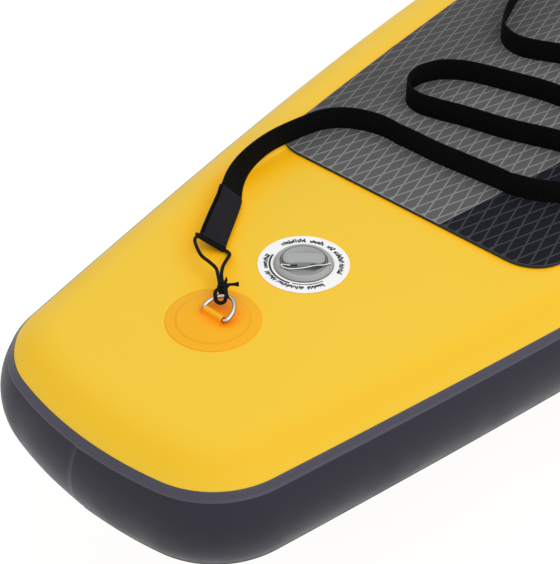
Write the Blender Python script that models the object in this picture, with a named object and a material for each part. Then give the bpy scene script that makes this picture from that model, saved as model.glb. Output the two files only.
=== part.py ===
"""Inflatable stand-up paddleboard: drop-stitch hull, rail bands, deck pads, valve, rings, fin and leash.

Frame: +Y towards the nose, +X to starboard, +Z up.  The origin is under the middle of the board, level
with the tip of the fin.  Metres throughout.
"""
import math

import bmesh
import bpy
import numpy as np
from mathutils import Matrix, Vector

# Clearances
GAP = 0.0003                # between faces that touch on the real board
RUN = 0.0004                # round a bar or a stem that turns or slides

# Facets round the turned pieces
ROUND = 28                  # patches, label and valve
SMALL_ROUND = 20            # stems and poppet

# Hull: overall sizes
LENGTH = 3.200
WIDTH = 0.790
THICK = 0.150
MAX_WIDTH_FROM_TAIL = 1.680
PLY = 0.0009                # coated fabric
CORE_PLY = 0.0006           # inner cloth that the threads are woven into

# Hull: tail outline
TAIL_END_R = 0.450
TAIL_END_HALF_ANGLE = 13.2
TAIL_CORNER_R = 0.116
SIDE_START_ANGLE = 77.7
SIDE_HANDLE_AFT = 0.532
SIDE_HANDLE_FORE = 0.560
NOSE_HANDLE_SIDE = 0.700
NOSE_HANDLE_TIP = 0.240

# Hull: rocker
ROCKER_START_FROM_TAIL = 1.750
NOSE_RISE = 0.110
ROCKER_POWER = 2.2

# Hull: rows of the outline, from the tail to the nose
CORNER_ROWS = 5
SIDE_ROWS = 5
NOSE_ROWS = 8

# Hull: how far round the rail each ply reaches, in degrees from straight up
PLY_STEP = 12.0             # the deck, bottom, core and wall plies bend at the same places
CORE_EDGE = 24.0
WALL_EDGE = 36.0
BAND_EDGE = 48.0
DECK_EDGE = 60.0
BAND_STEP = 3.0             # the rail band steps down off the deck ply's edge

# Thread rows between the plies
THREAD_ROWS = 4
THREAD_ROW_PITCH = 0.130
THREAD_ROW_T = 0.0010
THREAD_TAIL_CLEAR = 0.460
THREAD_NOSE_CLEAR = 0.560

# Deck pads
PAD_T = 0.0040
PAD_TAIL = 0.488            # rear edge, from the tail
PAD_NOSE = 2.400            # front edge, from the tail
PAD_REAR_HALF = 0.192
PAD_OFF_CENTRE = 0.004
PAD_MAX_HALF = 0.300
PAD_MAX_FROM_TAIL = 1.560
PAD_FRONT_HALF = 0.215
PAD_REAR_CORNER = 0.046
PAD_FRONT_CORNER = 0.080
DARK_BAND_W = 0.131

# Tail and nose towing rings
RING_FROM_TAIL = 0.204
RING_OFF_CENTRE = -0.006
NOSE_RING_FROM_TAIL = 2.960
PATCH_R = 0.050
PATCH_INNER_R = 0.0390
PATCH_T = 0.0008
RING_WIRE_R = 0.0021
RING_HALF_W = 0.0165
RING_DEPTH = 0.0245
RING_CORNER_R = 0.0036
SLEEVE_HALF = RING_HALF_W - RING_CORNER_R - RUN
SLEEVE_FORWARD = 0.0018     # of the patch centre
SLEEVE_WALL = 0.0014
TAIL_RING_LIFT = 20.0       # degrees above the deck, as the leash holds it
NOSE_RING_LIFT = 22.0

# Valve
VALVE_FROM_TAIL = 0.335
VALVE_LABEL_R = 0.0496
VALVE_LABEL_T = 0.0004
FLANGE_R = 0.0324
FLANGE_H = 0.0058
FLANGE_EDGE = 0.0026
CUP_R = 0.0254
CUP_DEPTH = 0.0141
CUP_OUTER_R = 0.0270
CUP_BASE_T = 0.0035
BARREL_R = 0.0190
BARREL_BORE_R = 0.0150
BARREL_LENGTH = 0.0400
VALVE_HOLE_R = CUP_OUTER_R + GAP
SEAT_BORE_R = 0.0120
SEAT_T = 0.0025
HUB_R = 0.0042
HUB_H = 0.0050
HUB_Z = -0.0290             # top of the hub, below the deck
SPOKE_W = 0.0030
STEM_R = 0.0020
POPPET_R = 0.0136
POPPET_T = 0.0020
KNOB_R = 0.0058
KNOB_T = 0.0020
KNOB_Z = -0.0140            # underside of the knob, below the deck
POPPET_TRAVEL = 0.0060
SPRING_WIRE_R = 0.0005
SPRING_TURNS = 4
NUT_R = 0.0350
NUT_H = 0.0070
GASKET_T = 0.0012
CAP_BAR_W = 0.0182
CAP_BAR_H = 0.0149
CAP_BAR_HALF = 0.0226
CAP_BAR_TURN = 42.0         # degrees from athwartships
CAP_BAR_WAIST = 0.0020      # how far the bar's near side curves in for the fingers
CAP_FLOOR_T = 0.0022
CAP_LIP_W = 0.0015          # the cap is a bowl inside a narrow lip
CAP_BOWL_W = 0.0100
CAP_BOWL_H = 0.0077
CAP_SKIRT_T = 0.0016
CAP_SKIRT_L = 0.0060
ORING_R = 0.0009
TETHER_R = 0.0006

# Carry handle
HANDLE_FROM_TAIL = 1.600
HANDLE_HALF = 0.140
HANDLE_GRIP_HALF = 0.062
HANDLE_RISE = 0.040
HANDLE_WEB_W = 0.038
HANDLE_WEB_T = 0.0024
GRIP_W = 0.046
GRIP_H = 0.022
HANDLE_PATCH_R = 0.045
HANDLE_SAMPLES = 25
WELL_MARGIN = 0.014

# Fin box and fin
FIN_DEPTH = 0.172
FIN_BOX_FROM_TAIL = 0.400
FIN_BOX_L = 0.262
FIN_BOX_W = 0.030
FIN_BOX_H = 0.0240
FIN_PLATE_L = 0.330
FIN_PLATE_W = 0.100
FIN_PLATE_T = 0.0020
SLOT_W = 0.0098
SLOT_DEPTH = 0.0200
SLOT_L = 0.236
TRACK_W = 0.0160
TRACK_H = 0.0052
TRACK_FLOOR = 0.0135        # height of the track's lower lip above the slot's mouth
FIN_TAB_L = 0.160
FIN_TAB_W = SLOT_W - 2 * RUN
FIN_TAB_H = 0.0180
FIN_ROOT = 0.152
FIN_TIP = 0.052
FIN_SWEEP = 0.120
FIN_T = 0.0088
FIN_EDGE = 0.0004
FIN_TRAVEL = 0.030
PIN_R = 0.0021
PIN_L = 0.0152
SCREW_R = 0.0020
SCREW_HEAD_R = 0.0042
SCREW_HEAD_H = 0.0040
DRIVE_W = 0.0012
SCREW_NOTCH_L = 0.0130
SCREW_PLATE_T = 0.0037
TRACK_NUT_L = 0.0100
TRACK_NUT_H = 0.0040

# Leash
WEB_W = 0.030
WEB_T = 0.0020
TAB_W = 0.032
TAB_T = 0.0046
HEM_R = 0.0042
STRING_R = 0.0016
KNOT_WRAP_R = 0.0020
KNOT_EASE = 0.0010          # the ring bends away under the turns
KNOT_R = RING_WIRE_R + KNOT_EASE + KNOT_WRAP_R
KNOT_TURNS = 2.2
KNOT_PITCH = 0.0044         # between the turns round the ring
KNOT_BALL_R = 0.0044
KNOT_TURN = 119.0           # where it sits round the ring's bow, in degrees from starboard
KNOT_TAIL = 0.0190
KNOT_TAIL_WAY = (0.30, 0.90, -0.30)   # of the loose end, in the ring's own frame
CUFF_R = 0.046
CUFF_W = 0.050
CUFF_T = 0.0050
CUFF_OVERLAP = 62.0         # degrees of hook-and-loop overlap
CUFF_RISE = 30.0            # degrees over which the outer end climbs on to the inner
ANCHOR_L = 0.030
ANCHOR_T = 0.0100

# Levels and stations worked out from the sizes above
RAIL_R = THICK / 2
HULL_BOTTOM = FIN_DEPTH + FIN_BOX_H + FIN_PLATE_T + 2 * GAP
HULL_MID = HULL_BOTTOM + RAIL_R
DECK = HULL_MID + RAIL_R
PAD_TOP = DECK + GAP + PAD_T
RING_Y = RING_FROM_TAIL - LENGTH / 2
SLEEVE_R = RING_WIRE_R + RUN + SLEEVE_WALL
BAR_HEIGHT = GAP + 2 * PATCH_T + SLEEVE_R

# Route of the leash from its tab: starboard and forward of the tail ring, lean from flat in degrees
LEASH_ROUTE = [
    (-0.136, 0.159, 38), (-0.154, 0.186, 56), (-0.167, 0.219, 76), (-0.170, 0.256, 88),
    (-0.167, 0.297, 90), (-0.157, 0.341, 90), (-0.135, 0.366, 90), (-0.100, 0.379, 90),
    (-0.057, 0.379, 90), (-0.016, 0.378, 90), (0.020, 0.380, 90), (0.082, 0.385, 90),
    (0.113, 0.392, 90), (0.138, 0.407, 90), (0.158, 0.426, 90), (0.167, 0.450, 90),
    (0.162, 0.474, 90), (0.144, 0.492, 90), (0.115, 0.500, 90), (0.080, 0.498, 90),
    (0.019, 0.478, 90), (-0.036, 0.466, 90), (-0.072, 0.456, 90), (-0.098, 0.452, 90),
    (-0.121, 0.461, 90), (-0.136, 0.483, 90), (-0.138, 0.509, 90), (-0.128, 0.533, 90),
    (-0.110, 0.552, 90), (-0.086, 0.563, 90), (-0.049, 0.573, 90), (-0.005, 0.584, 90),
    (0.029, 0.588, 90), (0.074, 0.595, 90), (0.112, 0.609, 90), (0.132, 0.636, 90),
    (0.125, 0.666, 90), (0.096, 0.687, 90), (0.054, 0.695, 90), (0.004, 0.693, 90),
    (-0.036, 0.680, 90), (-0.079, 0.662, 90), (-0.108, 0.664, 90), (-0.134, 0.684, 90),
    (-0.153, 0.719, 90), (-0.168, 0.756, 90), (-0.183, 0.797, 90), (-0.193, 0.847, 90),
    (-0.188, 0.899, 90), (-0.161, 0.936, 90), (-0.120, 0.955, 90), (-0.070, 0.957, 90),
    (-0.020, 0.950, 90), (0.030, 0.938, 90), (0.078, 0.928, 90), (0.120, 0.925, 90),
]

LEASH_SAMPLES = 69
# The cap's tether lies loose over the rim, from the valve's centre
TETHER_ROUTE = [(-0.0033, -0.0178), (-0.0080, -0.0202), (-0.0112, -0.0226), (-0.0100, -0.0246),
                (-0.0055, -0.0248), (0.0000, -0.0222), (0.0052, -0.0172), (0.0108, -0.0092),
                (0.0160, 0.0002), (0.0226, 0.0080), (0.0255, 0.0145)]
TETHER_SAMPLES = 20
TAB_START = (-0.0869, 0.0797, 30)   # lower end of the tab, by the string
# The string's two strands, from the tab to the knot, over the deck at the ring's station
HIGH_STRAND = [(-0.0990, 0.0693, 0.0205), (-0.0940, 0.0612, 0.0205), (-0.0745, 0.0505, 0.0190),
               (-0.0588, 0.0485, 0.0180), (-0.0468, 0.0459, 0.0175), (-0.0350, 0.0373, 0.0175)]
LOW_STRAND = [(-0.0637, 0.0830, 0.0065), (-0.0579, 0.0728, 0.0085), (-0.0503, 0.0597, 0.0115),
              (-0.0403, 0.0472, 0.0145), (-0.0295, 0.0372, 0.0165)]
STRING_SAMPLES = 40


def clear_scene():
    """Remove whatever the file holds."""
    for thing in list(bpy.data.objects):
        bpy.data.objects.remove(thing, do_unlink=True)


def material(name, colour, roughness, metallic=0.0):
    """A Principled material."""
    made = bpy.data.materials.new(name)
    made.use_nodes = True
    shader = made.node_tree.nodes["Principled BSDF"]
    shader.inputs["Base Color"].default_value = (*colour, 1.0)
    shader.inputs["Roughness"].default_value = roughness
    shader.inputs["Metallic"].default_value = metallic
    made.diffuse_color = (*colour, 1.0)
    return made


def finish(name, bm, finish_material, location=(0, 0, 0), angle=35.0, merge=1e-6):
    """Turn a bmesh into a named, shaded object."""
    if merge:
        bmesh.ops.remove_doubles(bm, verts=bm.verts, dist=merge)
    bmesh.ops.recalc_face_normals(bm, faces=bm.faces)
    mesh = bpy.data.meshes.new(name)
    bm.to_mesh(mesh)
    bm.free()
    mesh.shade_smooth()
    mesh.set_sharp_from_angle(angle=math.radians(angle))
    made = bpy.data.objects.new(name, mesh)
    made.location = location
    mesh.materials.append(finish_material)
    bpy.context.scene.collection.objects.link(made)
    return made


def boolean(target, operation, *tools):
    """Cut or join with solids that are guides only, and keep the result as the object's own mesh."""
    for number, tool in enumerate(tools):
        modifier = target.modifiers.new(f"{operation.lower()}_{number}", 'BOOLEAN')
        modifier.operation = operation
        modifier.object = tool
    bpy.context.view_layer.update()
    graph = bpy.context.evaluated_depsgraph_get()
    mesh = bpy.data.meshes.new_from_object(target.evaluated_get(graph), depsgraph=graph)
    target.modifiers.clear()
    old = target.data
    target.data = mesh
    bpy.data.meshes.remove(old)
    for tool in tools:
        bpy.data.objects.remove(tool, do_unlink=True)
    return target


# Outline of the hull

def bezier(p0, p1, p2, p3, steps):
    """Points and directions along a cubic curve, without its first point."""
    found = []
    for step in range(1, steps + 1):
        t = step / steps
        u = 1 - t
        point = p0 * u ** 3 + p1 * 3 * u * u * t + p2 * 3 * u * t * t + p3 * t ** 3
        along = (p1 - p0) * u * u + (p2 - p1) * 2 * u * t + (p3 - p2) * t * t
        found.append((point, along.normalized()))
    return found


def rail_centre():
    """Starboard half of the line that the rail's section turns round, with its outward normals."""
    edge = []
    centre = Vector((0, TAIL_END_R))
    for angle in (0.0, TAIL_END_HALF_ANGLE / 2, TAIL_END_HALF_ANGLE):
        turn = math.radians(angle)
        outward = Vector((math.sin(turn), -math.cos(turn)))
        edge.append((centre + outward * TAIL_END_R, outward))
    corner = edge[-1][0] - edge[-1][1] * TAIL_CORNER_R
    for step in range(1, CORNER_ROWS + 1):
        share = step / CORNER_ROWS
        turn = math.radians(TAIL_END_HALF_ANGLE + share * (SIDE_START_ANGLE - TAIL_END_HALF_ANGLE))
        outward = Vector((math.sin(turn), -math.cos(turn)))
        edge.append((corner + outward * TAIL_CORNER_R, outward))
    start, outward = edge[-1]
    along = Vector((-outward.y, outward.x))
    widest = Vector((WIDTH / 2, MAX_WIDTH_FROM_TAIL))
    tip = Vector((0, LENGTH))
    side = bezier(start, start + along * SIDE_HANDLE_AFT, widest - Vector((0, SIDE_HANDLE_FORE)), widest, SIDE_ROWS)
    nose = bezier(widest, widest + Vector((0, NOSE_HANDLE_SIDE)), tip + Vector((NOSE_HANDLE_TIP, 0)), tip,
                  NOSE_ROWS)
    edge += [(point, Vector((way.y, -way.x))) for point, way in side + nose]
    shift = Vector((0, -LENGTH / 2))
    return [(point - out * RAIL_R + shift, out) for point, out in edge]


RAIL = rail_centre()
ROWS = [point.y for point, outward in RAIL]


def rocker(y):
    """Rise of the hull at a station, straight between the rows of the outline."""
    start = ROCKER_START_FROM_TAIL - LENGTH / 2
    reach = LENGTH / 2 - start
    rises = [NOSE_RISE * (max(row - start, 0.0) / reach) ** ROCKER_POWER for row in ROWS]
    return float(np.interp(y, ROWS, rises))


def bend(bm):
    """Cut a flat piece at the hull's rows and raise it with the rocker."""
    low = min(vert.co.y for vert in bm.verts)
    high = max(vert.co.y for vert in bm.verts)
    for row, after in zip(ROWS, ROWS[1:]):
        if low < row < high and rocker(after) > 0:
            geometry = bm.verts[:] + bm.edges[:] + bm.faces[:]
            bmesh.ops.bisect_plane(bm, geom=geometry, dist=1e-6, plane_co=(0, row, 0), plane_no=(0, 1, 0))
    for vert in bm.verts:
        vert.co.z += rocker(vert.co.y)


def hull_ring(bm, angle, radius):
    """One closed line round the hull, at an angle from straight up and a radius of the rail's section."""
    turn = math.radians(angle)
    sides = [(1, row) for row in range(len(RAIL))]
    sides += [(-1, row) for row in range(len(RAIL) - 2, 0, -1)]
    ring = []
    for side, row in sides:
        point, outward = RAIL[row]
        plan = point + outward * radius * math.sin(turn)
        height = HULL_MID + radius * math.cos(turn) + rocker(point.y)
        ring.append(bm.verts.new((side * plan.x, plan.y, height)))
    return ring


def join_rings(bm, lower, upper):
    """A band of faces between two lines round the hull."""
    count = len(lower)
    for here in range(count):
        after = (here + 1) % count
        bm.faces.new((lower[here], lower[after], upper[after], upper[here]))


def fill_ring(bm, ring):
    """Close a line round the hull with strips from side to side."""
    rows = len(RAIL) - 1
    count = len(ring)
    for row in range(rows):
        corners = [ring[row], ring[row + 1], ring[(count - row - 1) % count], ring[(count - row) % count]]
        distinct = list(dict.fromkeys(corners))
        bm.faces.new(distinct)


def hull_sheet(bm, section, side):
    """A ply over the whole deck (side 1) or bottom (side -1), turned down round the rail."""
    outer = [hull_ring(bm, 90 - side * (90 - angle), radius) for angle, radius, wall in section]
    inner = [hull_ring(bm, 90 - side * (90 - angle), radius - wall) for angle, radius, wall in section]
    for rings in (outer, inner):
        fill_ring(bm, rings[0])
        for here, after in zip(rings, rings[1:]):
            join_rings(bm, here, after)
    join_rings(bm, outer[-1], inner[-1])


def hull_band(name, section, wall, finish_material):
    """A ply that goes round the rail only."""
    bm = bmesh.new()
    rings = [hull_ring(bm, angle, radius) for angle, radius in section]
    rings += [hull_ring(bm, angle, radius - wall) for angle, radius in reversed(section)]
    for here, after in zip(rings, rings[1:] + rings[:1]):
        join_rings(bm, here, after)
    return finish(name, bm, finish_material)


def spread(start, end):
    """Angles from one to the other, at the bends that all plies share."""
    count = round(abs(end - start) / PLY_STEP)
    return [start + (end - start) * step / count for step in range(count + 1)]


# Turned, swept and flat pieces

def spin_profile(bm, profile, segments):
    """Faces of a profile of radius and height spun round the vertical."""
    verts = [bm.verts.new((radius, 0, height)) for radius, height in profile]
    edges = [bm.edges.new(pair) for pair in zip(verts, verts[1:])]
    if profile[0][0] > 0:
        edges.append(bm.edges.new((verts[-1], verts[0])))
    bmesh.ops.spin(bm, geom=verts + edges, axis=(0, 0, 1), cent=(0, 0, 0),
                   angle=2 * math.pi, steps=segments, use_merge=True)
    bmesh.ops.remove_doubles(bm, verts=bm.verts, dist=1e-6)


def turned(name, profile, segments, finish_material, location=(0, 0, 0), angle=35.0):
    """Spin a profile of radius and height round the vertical; one that starts on the axis is solid."""
    bm = bmesh.new()
    spin_profile(bm, profile, segments)
    return finish(name, bm, finish_material, location, angle)


def cylinder(name, radius, start, end, finish_material, segments=24):
    """A round bar between two points."""
    start, end = Vector(start), Vector(end)
    bm = bmesh.new()
    bmesh.ops.create_cone(bm, cap_ends=True, segments=segments, radius1=radius, radius2=radius,
                          depth=(end - start).length)
    turn = (end - start).to_track_quat('Z', 'Y').to_matrix().to_4x4()
    bm.transform(Matrix.Translation((start + end) / 2) @ turn)
    return finish(name, bm, finish_material)


def round_ball(name, centre, radius, finish_material):
    """A small ball."""
    bm = bmesh.new()
    bmesh.ops.create_uvsphere(bm, u_segments=10, v_segments=6, radius=radius)
    bmesh.ops.translate(bm, verts=bm.verts, vec=centre)
    return finish(name, bm, finish_material)


def block(name, low, high, finish_material, bevel=0.0, segments=2):
    """A box between two corners, with its edges rounded."""
    low, high = Vector(low), Vector(high)
    bm = bmesh.new()
    bmesh.ops.create_cube(bm, size=1.0)
    bm.transform(Matrix.Translation((low + high) / 2) @ Matrix.Diagonal((*(high - low), 1)))
    if bevel:
        bmesh.ops.bevel(bm, geom=bm.edges[:], offset=bevel, segments=segments, affect='EDGES', profile=0.5)
    return finish(name, bm, finish_material)


def slab(name, outline, low, high, finish_material, follow_rocker=True):
    """A flat sheet with the given outline."""
    bm = bmesh.new()
    face = bm.faces.new([bm.verts.new((x, y, low)) for x, y in outline])
    extruded = bmesh.ops.extrude_face_region(bm, geom=[face])
    top = [item for item in extruded["geom"] if isinstance(item, bmesh.types.BMVert)]
    bmesh.ops.translate(bm, verts=top, vec=(0, 0, high - low))
    if follow_rocker:
        bend(bm)
    return finish(name, bm, finish_material)


def rounded(corners, radii, steps=4):
    """An outline with its corners turned by arcs."""
    points = []
    count = len(corners)
    for number, (corner, radius) in enumerate(zip(corners, radii)):
        corner = Vector(corner)
        before = (Vector(corners[number - 1]) - corner).normalized()
        after = (Vector(corners[(number + 1) % count]) - corner).normalized()
        if radius == 0:
            points.append(corner)
            continue
        half = before.angle(after) / 2
        centre = corner + (before + after).normalized() * radius / math.sin(half)
        first = corner + before * radius / math.tan(half) - centre
        last = corner + after * radius / math.tan(half) - centre
        sweep = first.angle_signed(last)
        for step in range(steps + 1):
            points.append(centre + Matrix.Rotation(-sweep * step / steps, 2) @ first)
    return [(point.x, point.y) for point in points]


def frames(points, closed=False):
    """Directions along a run of points, with a sideways vector carried along each without twisting."""
    points = [Vector(point) for point in points]
    count = len(points)
    ways = []
    for number in range(count):
        before = points[number - 1] if closed or number else points[0]
        after = points[(number + 1) % count] if closed or number < count - 1 else points[-1]
        ways.append((after - before).normalized())
    side = ways[0].orthogonal().normalized()
    found = []
    for point, way in zip(points, ways):
        side = (side - way * side.dot(way)).normalized()
        found.append((point, way, side.copy()))
    return found


def wire(name, points, radius, finish_material, sides=8, closed=False):
    """A round wire or cord along a run of points."""
    bm = bmesh.new()
    rings = []
    for point, way, side in frames(points, closed):
        across = way.cross(side)
        ring = []
        for step in range(sides):
            turn = 2 * math.pi * step / sides
            ring.append(bm.verts.new(point + (side * math.cos(turn) + across * math.sin(turn)) * radius))
        rings.append(ring)
    following = rings[1:] + (rings[:1] if closed else [])
    for here, after in zip(rings, following):
        for step in range(sides):
            other = (step + 1) % sides
            bm.faces.new((here[step], here[other], after[other], after[step]))
    if not closed:
        bm.faces.new(rings[0])
        bm.faces.new(rings[-1])
    return finish(name, bm, finish_material)


def strap(name, stations, width, thickness, finish_material):
    """Flat webbing through stations of place and lean, where 90 degrees stands it on its edge."""
    bm = bmesh.new()
    points = [Vector(place) for place, lean in stations]
    rings = []
    for number, (place, lean) in enumerate(stations):
        before = points[max(number - 1, 0)]
        after = points[min(number + 1, len(points) - 1)]
        way = (after - before).normalized()
        port = Vector((0, 0, 1)).cross(way).normalized()
        up = way.cross(port)
        turn = math.radians(lean)
        across = port * math.cos(turn) + up * math.sin(turn)
        through = way.cross(across)
        ring = []
        for right, top in ((-1, -1), (1, -1), (1, 1), (-1, 1)):
            offset = across * right * width / 2 + through * top * thickness / 2
            ring.append(bm.verts.new(Vector(place) + offset))
        rings.append(ring)
    for here, after in zip(rings, rings[1:]):
        for step in range(4):
            other = (step + 1) % 4
            bm.faces.new((here[step], here[other], after[other], after[step]))
    bm.faces.new(rings[0])
    bm.faces.new(rings[-1])
    return finish(name, bm, finish_material)


def smooth_run(points, samples):
    """Evenly spaced points on a smooth curve through the given ones."""
    values = np.array(points, dtype=float)
    padded = np.vstack([2 * values[0] - values[1], values, 2 * values[-1] - values[-2]])
    fine = []
    for start in range(len(values) - 1):
        a, b, c, d = padded[start:start + 4]
        for t in np.linspace(0, 1, 12, endpoint=False):
            fine.append(0.5 * (2 * b + (c - a) * t + (2 * a - 5 * b + 4 * c - d) * t ** 2
                               + (3 * b - a - 3 * c + d) * t ** 3))
    fine.append(values[-1])
    fine = np.array(fine)
    steps = np.linalg.norm(np.diff(fine[:, :3], axis=0), axis=1)
    travelled = np.concatenate([[0], np.cumsum(steps)])
    wanted = np.linspace(0, travelled[-1], samples)
    return np.array([np.interp(wanted, travelled, column) for column in fine.T]).T


# Sub-parts

def build_hull(paint):
    """The air chamber: thread-joined core, skins, inner side wall and outer rail band."""
    core_r = RAIL_R - PLY - GAP
    core = bmesh.new()
    for side in (1, -1):
        hull_sheet(core, [(angle, core_r, CORE_PLY) for angle in spread(0, CORE_EDGE)], side)
    low = ROWS[0] + THREAD_TAIL_CLEAR
    high = ROWS[-1] - THREAD_NOSE_CLEAR
    middle = (THREAD_ROWS - 1) / 2
    core_object = finish("drop_stitch_core", core, paint["core"])
    walls = []
    for row in range(THREAD_ROWS):
        bm = bmesh.new()
        bmesh.ops.create_cube(bm, size=1.0)
        size = (THREAD_ROW_T, high - low, 2 * core_r - CORE_PLY)
        place = ((row - middle) * THREAD_ROW_PITCH, (low + high) / 2, HULL_MID)
        bm.transform(Matrix.Translation(place) @ Matrix.Diagonal((*size, 1)))
        bend(bm)
        walls.append(finish(f"threads_{row}", bm, paint["core"]))
    boolean(core_object, 'UNION', *walls)

    skin = [(angle, RAIL_R, PLY) for angle in spread(0, DECK_EDGE)]
    sheets = {}
    for name, side, colour in (("deck_skin", 1, "deck"), ("bottom_skin", -1, "bottom")):
        bm = bmesh.new()
        hull_sheet(bm, skin, side)
        sheets[name] = finish(name, bm, paint[colour])

    wall = [(angle, RAIL_R - PLY - GAP) for angle in spread(WALL_EDGE, 180 - WALL_EDGE)]
    hull_band("side_wall", wall, PLY, paint["wall"])

    over = RAIL_R + GAP + PLY
    lap = spread(BAND_EDGE, DECK_EDGE) + [DECK_EDGE + BAND_STEP / 3]
    side = [DECK_EDGE + BAND_STEP] + spread(DECK_EDGE + PLY_STEP, 120 - PLY_STEP) + [120 - BAND_STEP]
    band = [(angle, over) for angle in lap]
    band += [(angle, RAIL_R) for angle in side]
    band += [(180 - angle, over) for angle in reversed(lap)]
    hull_band("rail_band", band, PLY, paint["rail"])

    valve = (0, VALVE_FROM_TAIL - LENGTH / 2)
    for target in (sheets["deck_skin"], core_object):
        cutter = cylinder("valve_hole", VALVE_HOLE_R, (*valve, DECK - 4 * PLY), (*valve, DECK + PLY),
                          paint["deck"], 32)
        boolean(target, 'DIFFERENCE', cutter)


def pad_half(y):
    """Half width of the deck pad at a station."""
    tail, widest, nose = (station - LENGTH / 2 for station in (PAD_TAIL, PAD_MAX_FROM_TAIL, PAD_NOSE))
    if y <= widest:
        share = (widest - y) / (widest - tail)
        return PAD_MAX_HALF - (PAD_MAX_HALF - PAD_REAR_HALF) * share ** 1.5
    share = (y - widest) / (nose - widest)
    return PAD_MAX_HALF - (PAD_MAX_HALF - PAD_FRONT_HALF) * share ** 1.8


def pad_outline(port, starboard, port_corners, starboard_corners):
    """Outline between two edge lines, given as functions of the station, with rounded outer corners."""
    tail, nose = PAD_TAIL - LENGTH / 2, PAD_NOSE - LENGTH / 2
    stations = [tail + (nose - tail) * step / 10 for step in range(1, 10)]
    corners = [(port(tail), tail), (starboard(tail), tail)]
    corners += [(starboard(y), y) for y in stations]
    corners += [(starboard(nose), nose), (port(nose), nose)]
    corners += [(port(y), y) for y in reversed(stations)]
    radii = [port_corners[0], starboard_corners[0]] + [0] * 9
    radii += [starboard_corners[1], port_corners[1]] + [0] * 9
    return rounded(corners, radii)


def build_pads(paint):
    """Two-tone foam deck pad, with a well round the carry handle."""
    corners = (PAD_REAR_CORNER, PAD_FRONT_CORNER)
    low, high = DECK + GAP, DECK + GAP + PAD_T

    def port(y):
        return PAD_OFF_CENTRE - pad_half(y)

    def starboard(y):
        return PAD_OFF_CENTRE + pad_half(y)

    def seam(y):
        return starboard(y) - DARK_BAND_W

    grey = slab("deck_pad_grey", pad_outline(port, seam, corners, (0, 0)), low, high, paint["pad_grey"])
    slab("deck_pad_dark", pad_outline(lambda y: seam(y) + GAP, starboard, (0, 0), corners),
         low, high, paint["pad_dark"])
    middle = HANDLE_FROM_TAIL - LENGTH / 2
    half_l = HANDLE_HALF + HANDLE_PATCH_R + WELL_MARGIN
    half_w = HANDLE_PATCH_R + WELL_MARGIN
    well = rounded([(-half_w, middle - half_l), (half_w, middle - half_l),
                    (half_w, middle + half_l), (-half_w, middle + half_l)], [half_w * 0.9] * 4, 6)
    cutter = slab("handle_well", well, DECK - PAD_T, high + PAD_T, paint["pad_grey"], follow_rocker=False)
    boolean(grey, 'DIFFERENCE', cutter)


def round_patch(name, profile, x, y, finish_material):
    """A round patch glued on the deck, turned from its profile and bent to the rocker."""
    bm = bmesh.new()
    spin_profile(bm, profile, ROUND)
    bmesh.ops.translate(bm, verts=bm.verts, vec=(x, y, DECK + GAP))
    bend(bm)
    return finish(name, bm, finish_material)


def build_ring(prefix, x, y, lift, paint):
    """A round patch with a sleeve, and the D-ring that turns in it."""
    base = DECK + GAP
    patch = round_patch(f"{prefix}_ring_patch", [
        (0, 0), (PATCH_R, 0), (PATCH_R - PATCH_T / 2, PATCH_T), (PATCH_INNER_R, PATCH_T),
        (PATCH_INNER_R - PATCH_T / 2, 2 * PATCH_T), (0, 2 * PATCH_T)], x, y, paint["patch"])
    y += SLEEVE_FORWARD
    rise = base + 2 * PATCH_T + SLEEVE_R + rocker(y)
    ends = (x - SLEEVE_HALF, y), (x + SLEEVE_HALF, y)
    sleeve = cylinder("sleeve", SLEEVE_R, (*ends[0], rise), (*ends[1], rise), paint["patch"], 16)
    foot_low = (x - SLEEVE_HALF, y - SLEEVE_R * 1.6, base + PATCH_T + rocker(y))
    foot_high = (x + SLEEVE_HALF, y + SLEEVE_R * 1.6, rise - SLEEVE_R * 0.7)
    foot = block("foot", foot_low, foot_high, paint["patch"])
    boolean(patch, 'UNION', sleeve, foot)
    bore = cylinder("bore", RING_WIRE_R + RUN, (x - PATCH_R, y, rise), (x + PATCH_R, y, rise),
                    paint["patch"], 16)
    boolean(patch, 'DIFFERENCE', bore)

    bar = RING_HALF_W - RING_CORNER_R
    points = [(-bar / 2, 0), (bar / 2, 0)]
    for turn in (-90, -45, 0):
        angle = math.radians(turn)
        points.append((bar + RING_CORNER_R * math.cos(angle), RING_CORNER_R * (1 + math.sin(angle))))
    for step in range(1, 12):
        angle = math.pi * step / 12
        points.append((RING_HALF_W * math.cos(angle),
                       RING_CORNER_R + (RING_DEPTH - RING_CORNER_R) * math.sin(angle)))
    for turn in (180, 225, 270):
        angle = math.radians(turn)
        points.append((-bar + RING_CORNER_R * math.cos(angle), RING_CORNER_R * (1 + math.sin(angle))))
    ring = wire(f"{prefix}_ring", [(px, py, 0) for px, py in points], RING_WIRE_R, paint["steel"],
                closed=True)
    ring.location = (x, y, rise)
    ring.rotation_euler = (math.radians(lift), 0, 0)
    return ring


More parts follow.
